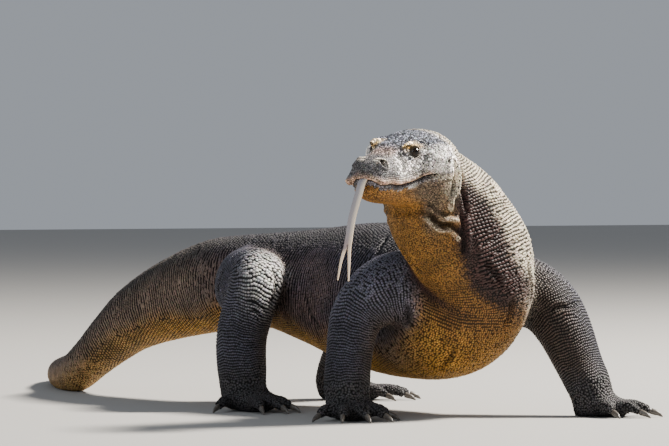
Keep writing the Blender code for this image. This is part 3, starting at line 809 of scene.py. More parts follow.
def clear_of(point, reach):
    """True if no scale lies nearer to the point than reach."""
    x, y, z = cell(point)
    span = int(math.ceil(reach / GRID))
    for i in range(x - span, x + span + 1):
        for j in range(y - span, y + span + 1):
            for k in range(z - span, z + span + 1):
                for other in taken.get((i, j, k), ()):
                    if (other - point).length_squared < reach * reach:
                        return False
    return True


def lay_scale(place, out, back, length, width):
    """Keeps one scale: its place, the way out of the skin, the way back along the body, its size."""
    taken.setdefault(cell(place), []).append(place)
    scale_place.append(place)
    scale_out.append(out)
    scale_back.append(back)
    scale_size.append((length, width))


def below_back(turn):
    """Degrees down from the line of the back, either way round, of angles round the trunk."""
    return np.degrees(np.abs((turn + np.pi / 2) % (2 * np.pi) - np.pi))


# where the pale underside begins: distances along, and degrees down from the back
LEFT_EDGE = (
    (0, 0.12, 0.18, 0.26, 0.34, 0.50, 0.80, 1.10, 1.30, 1.50),
    (115, 117, 138, 150, 150, 128, 125, 127, 120, 112),
)
RIGHT_EDGE = (
    (0, 0.20, 0.28, 0.40, 0.50, 0.80, 1.10, 1.30, 1.50),
    (88, 92, 108, 126, 125, 122, 127, 120, 112),
)


def underside(s, turn, soft=11):
    """1 on throat, chest, belly and the underside of the tail, 0 above them."""
    wave = 4 * np.sin(s * 27 + 1.3 * np.sin(turn * 3)) + 3 * np.sin(turn * 9 + s * 13)
    left, right = np.interp(s, *LEFT_EDGE), np.interp(s, *RIGHT_EDGE)
    lean = 0.5 + 0.5 * np.cos(turn)
    edge = right + (left - right) * ease(lean, 0.3, 0.7)
    return ease(below_back(turn) + wave, edge - soft, edge + soft)


TAIL_TIP = limbs["spine"].length
BACK_ROWS = ((0, 0.12, 0.30, 0.95, 1.6, TAIL_TIP), (0.0078, 0.0086, 0.0088, 0.0088, 0.0082, 0.0042))
BELLY_ROWS = (
    (0, 0.12, 0.30, 0.50, 1.1, 1.6, TAIL_TIP),
    (0.0041, 0.0043, 0.0054, 0.0062, 0.0074, 0.0076, 0.0042),
)


def back_pitch(s):
    """Spacing of the rows along the back, and of the scales in a row."""
    along = np.interp(s, *BACK_ROWS)
    return along, along * np.interp(s, (0, 0.9, 1.4, TAIL_TIP), (0.72, 0.74, 0.76, 0.80))


def belly_pitch(s):
    """The same under the body, where the scales are smaller."""
    along = np.interp(s, *BELLY_ROWS)
    return along, along * 0.90


def leg_pitch(s, length, hind):
    """The same down a leg: larger on the thigh, smallest at the foot."""
    thigh = np.interp(s / length, (0, 0.5, 0.65), (0.0076, 0.0074, 0.0060))
    root = thigh if hind else 0.0060
    along = np.interp(s / length, (0, 0.65, 0.85, 1), (root, 0.0057, 0.0054, 0.0051))
    return along, along * 0.88


def levelled(headings, share):
    """Headings turned by a share towards straight down, so that rows across them lie level."""
    return unit(headings * (1 - share) + np.array((0, 0, -1)) * share)


def neck_share(s):
    """How far rows are levelled: most at the head, not at all behind the shoulders."""
    return 0.80 * ease(-s, -0.52, -0.12)


def tilted(limb, s, angles):
    """Heading of a row's scales and how far each is shifted; on the neck rows lie nearly level."""
    _, ahead, side, top, size = (group[0] for group in limb.at(max(s, 0)))
    aim = levelled(ahead, float(neck_share(s)) * (limb.name == "spine"))
    reach = side * (np.cos(angles) * size[0])[:, None]
    reach += top * (np.where(np.sin(angles) > 0, size[1], size[2]) * np.sin(angles))[:, None]
    return aim, -(reach @ aim) / (ahead @ aim)


crease_tree = tree_of(np.concatenate([places for depth, _, places in folds if abs(depth) > 0.0045]))


def row_gaps(limb, s, row, along, angles, shift):
    """Spacing to the next row at each scale of a trunk row: where rows crowd, every other one stops."""
    crowd = 1 + (tilted(limb, s + along, angles)[1] - shift) / along
    return np.minimum(np.where(crowd < 0.62, 2 * crowd * (row % 2 == 0), crowd), 1.25)


def lay_rows(name, start, end, pitch, allowed, room=ROW_ROOM):
    """Rows of scales across one limb, each row shifted half a scale from the last."""
    limb = limbs[name]
    s, row = start, 0
    while s < end:
        along, across = pitch(s)
        angle, way = limb.girth(max(s, 0))
        count = max(5, int(round(way[-1] / across)))
        at = (np.arange(count) + 0.5 * (row % 2)) / count * way[-1]
        angles = np.interp(at, way, angle)
        jitter = chance.normal(0, 0.06, (count, 2))
        wave = 0.45 * np.sin(3 * angles + s * 21) + 0.18 * np.sin(9 * angles - s * 33)
        ahead, shift = tilted(limb, s, angles)
        spot = s + (jitter[:, 0] + wave) * along + shift
        places = limb.outline(np.maximum(spot, 0), angles + jitter[:, 1] * 2 * np.pi / count)
        if name == "spine":
            spans = row_gaps(limb, s, row, along, angles, shift)
        else:
            onward = limb.outline(np.maximum(spot, 0) + along, angles)
            spans = np.clip(np.linalg.norm(onward - places, axis=1) / along, 0.7, 1.6)
        middle = limb.at(max(s, 0))[0][0]
        for place, turn, s_here, span in zip(places, angles, spot, spans):
            hit, normal, _, _ = hide_tree.find_nearest(Vector(place), 0.016)
            if hit is None or span <= 0 or s_here < 0 or on_floor(hit, normal):
                continue
            if not allowed(hit, turn, s_here) or crease_tree.find(hit)[2] <= 0.0055:
                continue
            if clear_of(hit, room * across):
                grown = 1.0
                if name != "spine":
                    grown = np.linalg.norm(hit - Vector(middle)) / np.linalg.norm(place - middle)
                    grown = min(max(grown, 1.0), 1.6)
                lay_scale(hit, normal, Vector(ahead), along * span * grown, across * grown)
        s += along
        row += 1


def on_floor(point, normal):
    return point.z < SOLE_REACH and normal.z < SOLE_TILT


def off_head(point):
    back, _, up = of_head(np.array(point)[None])[:, 0]
    return back > 0.205 or up < -0.11


def above(point, turn, s):
    return off_head(point) and underside(s, turn, 1) < 0.5


def beneath(point, turn, s):
    return off_head(point) and s > 0.20 and underside(s, turn, 1) >= 0.5


def anywhere(point, turn, s):
    return True


lay_rows("spine", -0.12, TAIL_TIP - 0.004, back_pitch, above)
lay_rows("spine", -0.116, 0.62, back_pitch, above, 0.94)
lay_rows("spine", 0.05, TAIL_TIP - 0.004, belly_pitch, beneath)
for leg in LEGS:
    length, hind = limbs[leg].length, leg.endswith("hind")
    lay_rows(leg, 0.0, length - 0.040, lambda s: leg_pitch(s, length, hind), anywhere, 0.70)

SPINE_NUMBER = CHARTED.index("spine")
THIGHS = [CHARTED.index("right_hind"), CHARTED.index("left_hind")]


def odd_size(points, number, s, turn):
    """Size of the odd scales at points: smallest round eyes and nostrils, small on face and feet."""
    back, side, up = of_head(points)
    face = np.interp(back, (0, 0.06, 0.15, 0.21), (0.0039, 0.0041, 0.0045, 0.0052))
    face = np.where(near(points, EYE, 0.0170) | (nostril_gap(back, up) < 0.0145), 0.0030, face)
    face = np.where(up < mouth_height(back, side) + 0.020, np.minimum(face, 0.0040), face)
    foot = np.interp(points[:, 2], (0, 0.03, FOOT_TOP), (0.0046, 0.0050, 0.0056))
    trunk = np.where(underside(s, turn) > 0.5, belly_pitch(s)[0], 0.0068)
    leg = 0.0054 + 0.0014 * (np.isin(number, THIGHS) * ease(points[:, 2], 0.12, 0.20))
    rest = np.where(number == SPINE_NUMBER, trunk, leg)
    rest = np.where([crease_tree.find(p)[2] < 0.008 for p in points], np.minimum(rest, 0.0040), rest)
    return np.where(on_face(points), face, np.where(points[:, 2] < FOOT_TOP, foot, rest))


def too_near_opening(points):
    """Places kept bare: the ball of the eye, the nostril, the ear and the slit of the mouth."""
    back, side, up = of_head(points)
    aside = np.abs(side)
    around = unit(np.stack((back - EYE_BACK, aside - EYE_SIDE, up - EYE_UP), axis=1))
    eye = near(points, EYE, 0.022) & (lid_gap(around) < 1.26)
    nose = (nostril_gap(back, up) < 0.0088) & (aside > 0.010)
    ear = (np.hypot((back - EAR_BACK) / 0.0040, (up - EAR_UP) / 0.0090) < 1) & (aside > 0.05)
    mouth = (back < 0.160) & (back > -0.03) & (np.abs(up - mouth_height(back, side)) < 0.0024)
    return eye | nose | ear | mouth & (aside < 0.09)


# rows along the lips: height above the slit and size of the scales
LIP_ROWS = ((0.0050, 0.0048), (0.0094, 0.0042), (0.0134, 0.0042), (0.0174, 0.0042), (-0.0056, 0.0044))


def lay_lips():
    """Rows of squarish scales along the lips."""
    for sign in (-1, 1):
        for lift, size in LIP_ROWS:
            back = 0.004
            while back < 0.150:
                half = np.interp(back, [row[0] for row in HEAD], [row[1] for row in HEAD])
                up = mouth_height(back, half) + lift
                start = Vector(in_head(back, sign * (half + 0.03), up))
                hit, normal, _, _ = hide_tree.ray_cast(start, Vector(AXES[1]) * -sign, 0.07)
                if hit is not None and clear_of(hit, size * 0.8):
                    lay_scale(hit, normal, Vector(AXES[0]), size * 1.12, size * 0.92)
                back += size


def scattered(obj):
    """Random places all over the skin, some to each scale's room: points, normals, headings, sizes."""
    mesh = obj.data
    mesh.calc_loop_triangles()
    corners = np.empty(len(mesh.loop_triangles) * 3, int)
    mesh.loop_triangles.foreach_get("vertices", corners)
    a, b, c = corners.reshape(-1, 3).T
    points, normals = points_of(obj), normals_of(obj)
    area = np.linalg.norm(np.cross(points[b] - points[a], points[c] - points[a]), axis=1) / 2
    middles = (points[a] + points[b] + points[c]) / 3
    number, s, turn, headings = charted(middles)
    sizes = odd_size(middles, number, s, turn)
    tries = np.where(on_face(middles), 12.0, 9.0)
    count = np.floor(area / sizes**2 * tries + chance.random(len(a))).astype(int)
    pick = np.repeat(np.arange(len(a)), count)
    u, v = chance.random(len(pick)), chance.random(len(pick))
    u, v = np.where(u + v > 1, 1 - u, u)[:, None], np.where(u + v > 1, 1 - v, v)[:, None]
    a, b, c = a[pick], b[pick], c[pick]
    places = points[a] * (1 - u - v) + points[b] * u + points[c] * v
    facing = unit(normals[a] * (1 - u - v) + normals[b] * u + normals[c] * v)
    share = (neck_share(s[pick]) * (number[pick] == SPINE_NUMBER))[:, None]
    headings = levelled(headings[pick], share)
    headings[on_face(places)] = AXES[0]
    return places, facing, headings, sizes[pick]


def lay_odd_scales():
    """Fills whatever the rows leave open, in a random order, keeping a scale's room to each."""
    points, normals, headings, sizes = scattered(hide)
    bare = too_near_opening(points) | ((points[:, 2] < SOLE_REACH) & (normals[:, 2] < SOLE_TILT))
    back, _, up = of_head(points)
    room = sizes * np.where((back < 0.22) & (up > -0.12), 0.71, 0.80)
    for i in chance.permutation(np.flatnonzero(~bare)):
        point, out, back = Vector(points[i]), Vector(normals[i]), Vector(headings[i])
        if clear_of(point, room[i]):
            lay_scale(point, out, back, sizes[i] * ODD_LENGTH, sizes[i] * ODD_WIDTH)


lay_lips()
lay_odd_scales()

place = np.array(scale_place)
out = unit(np.array(scale_out))
size = np.array(scale_size)
along = np.array(scale_back)
along = unit(along - out * np.sum(along * out, axis=1)[:, None])
over = np.cross(out, along)
spin = chance.normal(0, 0.08, len(place))[:, None]
along, over = along * np.cos(spin) + over * np.sin(spin), over * np.cos(spin) - along * np.sin(spin)
part_number, part_s, part_turn, _ = charted(place)
on_spine = part_number == SPINE_NUMBER

# colours of the hide: head, trunk and tail, legs
CROWN, CHEEK, TEMPLE = (0.100, 0.106, 0.132), (0.63, 0.60, 0.57), (0.92, 0.88, 0.83)
BROW, BROW_EDGE, LIDS = (0.58, 0.35, 0.09), (0.66, 0.58, 0.44), (0.52, 0.46, 0.38)
MUZZLE_TOP, BRIDGE, SOCKET = (0.100, 0.094, 0.096), (0.30, 0.205, 0.17), (0.11, 0.115, 0.14)
# the nostril's dark brown inside is painted shade in its hollow
NOSTRIL_RIM, NOSTRIL_SHADE = (0.72, 0.64, 0.54), (0.045, 0.022, 0.012)
LIP, LOW_LIP = (0.45, 0.29, 0.205), (0.13, 0.125, 0.138)
# the dark of the slit between the lips and of the mouth's corners is painted shade in those hollows
SLIT_SHADE, MOUTH_CORNER_SHADE, STRIPES = (0.07, 0.05, 0.045), (0.05, 0.045, 0.05), (0.30, 0.28, 0.27)
# the darker olive brown at the rear of the lower jaw is painted shade
JAW, SHADED_JAW_REAR, RIDGE_HIGHLIGHT = (0.215, 0.098, 0.019), (0.125, 0.085, 0.052), (0.50, 0.43, 0.32)
# the pale nape is partly painted light on the neck's near, lit side; the far side is darker
LIT_PALE_NAPE, NAPE_FAR, BACK = (0.51, 0.445, 0.345), (0.120, 0.104, 0.092), (0.026, 0.024, 0.028)
# the grey patch on the chest by the elbow is dust, with the elbow's painted shadow and a painted sheen
FLANK, RUST, DUST_SHADOW_AND_SHEEN = (0.041, 0.036, 0.052), (0.13, 0.078, 0.060), (0.13, 0.125, 0.13)
# the darker ochre of the throat is painted shade under the head; the chest's is a darker reddish ochre
# with painted shade
SHADED_THROAT, OCHRE = (0.200, 0.095, 0.018), (0.52, 0.26, 0.036)
SHADED_CHEST, PAINTED_NECK_SHADE = (0.185, 0.085, 0.024), (0.034, 0.016, 0.014)
TAIL_TOP, TAIL_SIDE, TAIL_UNDER = (0.056, 0.048, 0.044), (0.165, 0.115, 0.085), (0.34, 0.20, 0.068)
LIMB, LIMB_INSIDE = (0.062, 0.060, 0.080), (0.086, 0.062, 0.050)
# the pale knee colour is a painted highlight, the light falling on the front of the knee
KNEE_HIGHLIGHT, FOOT = (0.62, 0.60, 0.58), (0.055, 0.051, 0.053)
# the band of painted shade down the right of the neck: distances along, and its edges in degrees down
# from the back
DARK_TOP = ((0.03, 0.10, 0.136, 0.172, 0.227, 0.27), (80, 79, 89, 93, 105, 114))
DARK_FOOT = ((0.03, 0.073, 0.109, 0.145, 0.208, 0.27), (112, 122, 134, 145, 158, 163))
# where the pale side of the neck, partly painted light, ends over its darker far side, in degrees round
# from the left
PALE_END = ((0.15, 0.20, 0.25, 0.32), (80, 72, 60, 32))


def over_paint(tint, colour, cover):
    return tint + (np.array(colour) - tint) * np.clip(cover, 0, 1)[:, None]


def painted(tint, coats):
    """A tint under coats of paint, each a colour and how far it covers."""
    for colour, cover in coats:
        tint = over_paint(tint, colour, cover)
    return tint


def trunk_tint(s, turn):
    """Colours round the spine: pale nape, partly painted light; dark flank; ochre beneath, with painted
    shade at throat, chest and down the neck.
    """
    below, round_left = below_back(turn), (np.degrees(turn) + 90) % 360 - 90
    under, tail = underside(s, turn, 14), ease(s, 1.0, 1.2)
    rusty = bell(s - 0.98 - 0.05 * np.sin(turn * 5), 0.20)
    rusty = rusty + 0.6 * bell(s - 0.66 + 0.04 * np.sin(turn * 9), 0.07)
    upper, lower = np.interp(s, *DARK_TOP), np.interp(s, *DARK_FOOT)
    # a band of painted shade down the right of the neck, where its folds shade it
    band = ease(s, 0.01, 0.04) * ease(-s, -0.33, -0.25)
    band = band * ease(below - upper, -9, 7) * ease(lower - below, -7, 7)
    # a bluish grey patch low on the chest: dust with a painted shadow of the elbow and a painted sheen
    dust_shadow_and_sheen = bell(s - 0.435, 0.05) * bell(np.degrees(turn % (2 * np.pi)) - 222, 16)
    coats = (
        # the near side of the neck stays pale, partly painted light; beyond it the far side takes the
        # darker colour
        (NAPE_FAR, ease(round_left - np.interp(s, *PALE_END), 0, 34)),
        (BACK, ease(s, 0.19, 0.42)),
        (FLANK, ease(below, 40, 62) * ease(s, 0.34, 0.50)),
        (RUST, rusty * ease(below, 45, 70) * 0.8),
        (TAIL_TOP, tail),
        (TAIL_SIDE, tail * ease(below, 45, 80)),
        (OCHRE, under),
        # painted shade: the ochre darker under the head and on the chest
        (SHADED_THROAT, under * ease(-s, -0.36, -0.20)),
        (SHADED_CHEST, under * bell(s - 0.29, 0.075) * 0.9),
        (PAINTED_NECK_SHADE, band),
        (DUST_SHADOW_AND_SHEEN, dust_shadow_and_sheen * 0.6),
        (TAIL_UNDER, underside(s, turn, 22) * ease(s, 1.15, 1.5)),
    )
    return painted(np.tile(LIT_PALE_NAPE, (len(s), 1)), coats)


def leg_tint(points, number, s):
    """Colours round the legs: bluish grey outside, brown inside; painted light and shade on the
    forelegs and a painted highlight over the knees.
    """
    tint = np.tile(LIMB, (len(points), 1))
    for leg in LEGS:
        mine = np.flatnonzero(number == CHARTED.index(leg))
        outwards = -1 if leg.startswith("right") else 1
        facing = unit(points[mine] - limbs[leg].at(s[mine])[0])
        tint[mine] = over_paint(tint[mine], LIMB_INSIDE, ease(facing[:, 0] * -outwards, -0.3, 0.6))
        # painted light: the shoulder of the right foreleg, which lies in shade, is made paler
        if leg == "right_fore":
            tint[mine] *= 1 + 0.45 * ease(-s[mine], -0.22, -0.12)[:, None]
        # painted shade: the left foreleg, which lies in the light, is made darker
        if leg == "left_fore":
            tint[mine] *= 0.72
        if leg.endswith("hind"):
            forwards = facing @ unit(np.array((0.12 * outwards, -0.80, 0.42)))
            # a painted highlight over the front of each hind knee, where the light falls on it
            knee_highlight = bell(s[mine] - 0.200, 0.050) * ease(forwards, 0.50, 0.93)
            tint[mine] = over_paint(tint[mine], KNEE_HIGHLIGHT, knee_highlight)
    return tint


def head_tint(tint, points):
    """Speckled crown, pale cheeks, yellow brows, tan lips and an ochre jaw."""
    back, side, up = of_head(points)
    aside = np.abs(side)
    above = up - mouth_height(back, side)
    whole = ease(-back, -0.235, -0.185) * ease(up, -0.14, -0.10)
    fore = ease(-back, -0.158, -0.135)
    cheek = whole * ease(above, 0.0, 0.006) * ease(-up, -0.062, -0.044)
    cheek = cheek * ease(back, 0.03, 0.07) * ease(aside, 0.02, 0.035)
    bridge = bell(back - 0.070, 0.020) * ease(up, 0.022, 0.036) * ease(-aside, -0.034, -0.020)
    under = ease(-back, -0.215, -0.165) * ease(-above, 0.006, 0.013) * ease(up, -0.14, -0.10)
    # painted shade at the rear of the lower jaw, stronger on the left side
    rear_jaw_shade = under * ease(aside, 0.030, 0.055) * ease(back, 0.070, 0.125) * np.where(side < 0, 0.3, 1)
    striped = bell(back - 0.152, 0.016) * bell(above + 0.008, 0.006)
    brow = np.hypot((back - EYE_BACK + 0.003) / 0.025, (up - EYE_UP - 0.0125) / 0.0100)
    yellow = ease(-brow, -1.35, -0.6) * ease(aside, 0.024, 0.034)
    ring = np.hypot(back - EYE_BACK, (up - EYE_UP) * 1.1)
    nose = nostril_gap(back, up)
    rim = bell(nose - 0.0108, 0.0026) * (aside > 0.012) * ease(up + 0.8 * back, 0.038, 0.050)
    coats = (
        (CROWN, whole * ease(above, -0.004, 0.004)),
        (CHEEK, cheek),
        (TEMPLE, cheek * ease(back, 0.120, 0.150)),
        (MUZZLE_TOP, whole * ease(-back, -0.075, -0.045) * ease(above, 0.0, 0.006)),
        (BRIDGE, bridge * 0.8),
        (JAW, under * ease(-back, -0.175, -0.120)),
        (SHADED_JAW_REAR, rear_jaw_shade),
        (LOW_LIP, fore * ease(-above, -0.001, 0.002) * ease(above, -0.0115, -0.0065)),
        (CHEEK, fore * bell(back - 0.108, 0.014) * bell(above + 0.007, 0.0045) * 0.7),
        (LIP, fore * bell(above - 0.0040, 0.0075) * (above > -0.0005)),
        # painted shade along the slit between the lips and in the corners of the mouth
        (SLIT_SHADE, fore * bell(above + 0.0008, 0.0018) * 0.9),
        (MOUTH_CORNER_SHADE, bell(above + 0.0040, 0.0035) * bell(back - 0.135, 0.018) * 0.85),
        (STRIPES, striped * (0.5 + 0.5 * np.sin(back * 1500))),
        (BROW, yellow),
        (BROW_EDGE, yellow * bell(up - EYE_UP - 0.0185, 0.0028) * 0.8),
        (SOCKET, bell(back - 0.096, 0.0075) * bell(up - 0.038, 0.0085) * (aside > 0.03) * 0.85),
        (LIDS, bell(ring - 0.0118, 0.0024) * (aside > 0.03) * 0.7),
        (SOCKET, bell(back - 0.130, 0.006) * bell(up - 0.048, 0.018) * (aside > 0.03) * 0.7),
        (NOSTRIL_RIM, rim * 0.9),
        # painted shade inside the nostril's hollow
        (NOSTRIL_SHADE, ease(-nose, -0.0082, -0.0064) * (aside > 0.010) * ease(up, 0.015, 0.02)),
    )
    return painted(tint, coats)


def body_tint(points):
    """Colour of the hide at points."""
    number, s, turn, _ = charted(points)
    spine = (number == SPINE_NUMBER)[:, None]
    tint = np.where(spine, trunk_tint(s, turn), leg_tint(points, number, s))
    tint = np.where((points[:, 2] < 0.09)[:, None] & ~spine, FOOT, tint)
    return head_tint(tint, points)


def soft_tint(obj):
    """The hide's colours, run into one another where limbs meet, with the painted shade and highlights
    of its folds.
    """
    points = points_of(obj)
    number, s, _, _ = charted(points)
    neck = (number == SPINE_NUMBER) * ease(-s, -0.30, -0.26)
    tint = evened(obj, body_tint(points), 0.6 * (~in_face(points, 0.20) * (1 - 0.9 * neck)), 26)
    # painted shade in the folds' grooves, painted light on their ridges, and a painted highlight along
    # the high ridges
    return over_paint(tint * np.exp(fold_shade)[:, None], RIDGE_HIGHLIGHT, ridge_highlight * 0.7)


hide_tint = soft_tint(hide)
# the rings of a scale, from its foot to its top, by number of sides: radius and height
DOME = {8: ((1.00, -0.16), (0.80, 0.60)), 6: ((1.00, -0.16), (0.76, 0.60))}


def dome(sides):
    """One scale, unit long and wide, closed beneath: points, faces, shares of height and of side."""
    points, shares, beside = [(0, 0, -0.10)], [0.0], [0.0]
    for radius, height in DOME[sides]:
        for k in range(sides):
            angle = 2 * math.pi * (k + 0.5) / sides
            points.append((0.5 * radius * math.cos(angle), 0.5 * radius * math.sin(angle), height))
            shares.append(0.0 if height < 0 else 0.44)
            beside.append(abs(math.sin(angle)) ** 1.5)
    points.append((0.06, 0, 1.0))
    shares.append(1.0)
    beside.append(0.0)
    foot, top, last = 1, 1 + sides, 1 + 2 * sides
    faces = []
    for k in range(sides):
        n = (k + 1) % sides
        faces += [(0, foot + n, foot + k), (foot + k, foot + n, top + n)]
        faces += [(foot + k, top + n, top + k), (top + k, top + n, last)]
    return np.array(points), np.array(faces), np.array(shares), np.array(beside)


def coat_piece(name, chosen, sides, room):
    """One joined mesh of the chosen scales, with its colours and its bake map.

    Scales in line are shorter, wider and higher at their sides, so that a row reads as one ridge.
    """
    shape, faces, shares, beside = dome(sides)
    n, m = len(chosen), len(shape)
    joined = in_line[chosen]
    length = size[chosen, 0] * chance.uniform(0.92, 1.02, n) * (1 - 0.24 * joined)
    width = size[chosen, 1] * chance.uniform(1.02, 1.12, n) * (1 + 0.46 * joined)
    height = size[chosen, 1] * chance.uniform(0.24, 0.34, n) * flatness[chosen] * (1 + 0.25 * joined)
    x = shape[:, 0][None] * length[:, None]
    y = shape[:, 1][None] * width[:, None]
    z = (shape[:, 2][None] + 0.22 * beside[None] * joined[:, None]) * height[:, None] + x * 0.07
    points = (
        place[chosen][:, None]
        + along[chosen][:, None] * x[..., None]
        + over[chosen][:, None] * y[..., None]
        + out[chosen][:, None] * z[..., None]
    ).reshape(-1, 3)
    points[:, 2] = np.maximum(points[:, 2], SCALE_FLOOR)
    index = (faces[None] + np.arange(n)[:, None, None] * m).reshape(-1, 3)
    mesh = bpy.data.meshes.new(name)
    mesh.vertices.add(n * m)
    mesh.vertices.foreach_set("co", points.ravel())
    mesh.loops.add(index.size)
    mesh.loops.foreach_set("vertex_index", index.ravel())
    mesh.polygons.add(len(index))
    mesh.polygons.foreach_set("loop_start", np.arange(len(index)) * 3)
    mesh.polygons.foreach_set("use_smooth", np.ones(len(index), bool))
    mesh.update(calc_edges=True)
    # scales pale or dark at random; where the speckle is strong, on the crown and in the neck's dark
    # band, the pale ones are painted glints of light
    lot = np.where(chance.random(n) < 0.42, 1.15, -0.85) * 0.9 + chance.normal(0, 0.35, n)
    tint = scale_tint[chosen] * np.exp(lot * speckle_and_glints[chosen])[:, None] * chance.normal(1, 0.035, (n, 3))
    colour = np.ones((n, m, 4))
    colour[..., :3] = tint[:, None]
    mesh.color_attributes.new("tint", "FLOAT_COLOR", "POINT").data.foreach_set("color", colour.ravel())
    crest = mesh.attributes.new("crest", "FLOAT", "POINT")
    high = np.clip(shares[None] + joined[:, None] * beside[None] * 0.50, 0, 1)
    soft = softness[chosen][:, None]
    crest.data.foreach_set("value", np.clip(soft + (1 - soft) * high, 0, 1).ravel())
    spot = room(chosen)[:, None] + shape[None, :, :2] * 0.003
    bake = mesh.uv_layers.new(name="OFBake")
    bake.data.foreach_set("uv", spot.reshape(-1, 2)[index.ravel()].ravel())
    obj = bpy.data.objects.new(name, mesh)
    bpy.context.scene.collection.objects.link(obj)
    return obj


def tint_of_scales():
    """Each scale takes the colour of the hide under it."""
    first = np.array([polygon.vertices[0] for polygon in hide.data.polygons])
    faces = np.array([hide_tree.find_nearest(Vector(root))[2] for root in place])
    return hide_tint[first[faces]]


scale_tint = tint_of_scales()


def scale_kinds():
    """How far scales join in lines, how flat they are, how much colours vary (partly painted glints),
    how soft edges are.
    """
    back, side, up = of_head(place)
    head = ease(-back, -0.22, -0.20) * ease(up, -0.12, -0.10)
    top = on_spine * (1 - underside(part_s, part_turn, 6)) * (1 - head)
    joined = top * (1 + 0.35 * ease(-part_s, -0.45, -0.30))
    joined += 0.50 * ~on_spine * (place[:, 2] > FOOT_TOP) * (1 - head)
    for leg in LEGS:
        joined *= 1 - 0.9 * bell(from_root(place, leg), 0.075)
    above = up - mouth_height(back, side)
    temple = bell(back - 0.160, 0.040) * ease(-up, -0.066, -0.045)
    crown = head * ease(above, 0.012, 0.030) * ease(back, 0.0, 0.08) * (1 - 0.85 * temple)
    flat = 1 - 0.28 * head - 0.15 * (1 - top) * on_spine * (part_s < 0.3)
    dark = bell(part_s - 0.17, 0.10) * bell(below_back(part_turn) - 122, 24) * on_spine
    throat = on_spine * (1 - top) * ease(-part_s, -0.30, -0.20) * (1 - head)
    soft = 0.22 * throat + 0.12 * head * (1 - crown) - 0.38 * np.maximum(top, crown)
    # colours vary a little everywhere; on the crown and in the neck's dark band much more, as painted
    # glints
    return joined, flat, 0.15 + 0.16 * head + 0.60 * crown + 0.15 * dark, soft


in_line, flatness, speckle_and_glints, softness = scale_kinds()


def unwrap(chosen):
    """Roots of the scales on an unwrap of the hide: strips of distance along by angle round."""
    numbers = np.unique(part_number[chosen])
    strip = np.searchsorted(numbers, part_number[chosen])
    s, turn = part_s[chosen], (part_turn[chosen] % (2 * np.pi)) / (2 * np.pi)
    u = (s - s.min()) / max(1e-6, s.max() - s.min())
    v = (strip + turn) / len(numbers)
    return 0.004 + 0.992 * np.stack((u, v), axis=1)


def unwrap_head(chosen):
    back, side, up = of_head(place[chosen])
    turn = (np.arctan2(up - 0.015, side) % (2 * np.pi)) / (2 * np.pi)
    u = (back - back.min()) / (back.max() - back.min())
    return 0.004 + 0.992 * np.stack((u, turn), axis=1)


# pieces of the coat round the spine: name, where each starts and ends along it, sides of a scale
LENGTHS = (
    ("scales_neck", -1, 0.22, 8),
    ("scales_chest", 0.22, 0.36, 6),
    ("scales_shoulders", 0.36, 0.58, 6),
    ("scales_back", 0.58, 0.80, 6),
    ("scales_hips", 0.80, 1.10, 6),
    ("scales_tail", 1.10, 1.46, 6),
    ("scales_tail_end", 1.46, 9, 6),
)


def group_scales():
    """Scales sorted into pieces of the coat, each small enough to handle."""
    back = of_head(place)[0]
    head = on_face(place)
    snout = head & (back < 0.125)
    throat = ~head & on_spine & (part_s < 0.22) & (underside(part_s, part_turn) > 0.5)
    groups = {"scales_snout": (snout, 8), "scales_head": (head & ~snout, 8)}
    groups["scales_throat"] = (throat, 6)
    for name, start, end, sides in LENGTHS:
        groups[name] = (~head & on_spine & ~throat & (part_s >= start) & (part_s < end), sides)
    names = np.array([CHARTED[k] for k in part_number])
    foot = place[:, 2] < FOOT_TOP
    for leg in LEGS:
        mine = ~head & np.char.startswith(names, leg)
        groups["scales_" + leg] = (mine & ~foot, 6)
        groups["scales_" + leg + "_foot"] = (mine & foot, 6)
    return groups


FACE_PIECES = ("scales_snout", "scales_head")
coat = []
for name, (mine, sides) in group_scales().items():
    room = unwrap_head if name in FACE_PIECES else unwrap
    coat.append(coat_piece(name, np.flatnonzero(mine), sides, room))


def paint_hide(obj):
    """Gives the hide the same colours as its scales, painted light and shade included."""
    colour = np.ones((len(hide_tint), 4))
    colour[:, :3] = hide_tint
    tint = obj.data.color_attributes.new("tint", "FLOAT_COLOR", "POINT")
    tint.data.foreach_set("color", colour.ravel())
    back, side, up = of_head(points_of(obj))
    above = up - mouth_height(back, side)
    number, s, turn, _ = charted(points_of(obj))
    under = (number == SPINE_NUMBER) * underside(s, turn)
    pale = np.maximum(0.06 * ease(-back, -0.22, -0.18) * ease(up, -0.13, -0.09), 0.15 * under)
    pale = np.maximum(pale, 0.22 * under * ease(-s, -0.30, -0.20))
    pale += 0.12 * bell(above - 0.004, 0.004) * ease(-back, -0.18, -0.15) * (pale > 0.01)
    obj.data.attributes.new("crest", "FLOAT", "POINT").data.foreach_set("value", pale)
    shade_smooth(obj)


paint_hide(hide)


# ---- one material for the hide and one for the scales, from the same group
def new_material(name):
    """A fresh material, with its nodes, links and shader."""
    made = bpy.data.materials.new(name)
    made.use_nodes = True
    nodes = made.node_tree.nodes
    return made, nodes, made.node_tree.links, nodes["Principled BSDF"]


def colour_ramp(nodes, *stops):
    """A ramp through two or more stops, each a position and a colour."""
    node = nodes.new("ShaderNodeValToRGB")
    ramp = node.color_ramp.elements
    for k, stop in ((0, stops[0]), (1, stops[-1])):
        ramp[k].position = stop[0]
        ramp[k].color = (*stop[1], 1)
    for position, colour in stops[1:-1]:
        ramp.new(position).color = (*colour, 1)
    return node


def add_bump(nodes, links, shader, height, distance, strength):
    bump = nodes.new("ShaderNodeBump")
    bump.inputs["Distance"].default_value = distance
    bump.inputs["Strength"].default_value = strength
    links.new(height, bump.inputs["Height"])
    links.new(bump.outputs["Normal"], shader.inputs["Normal"])


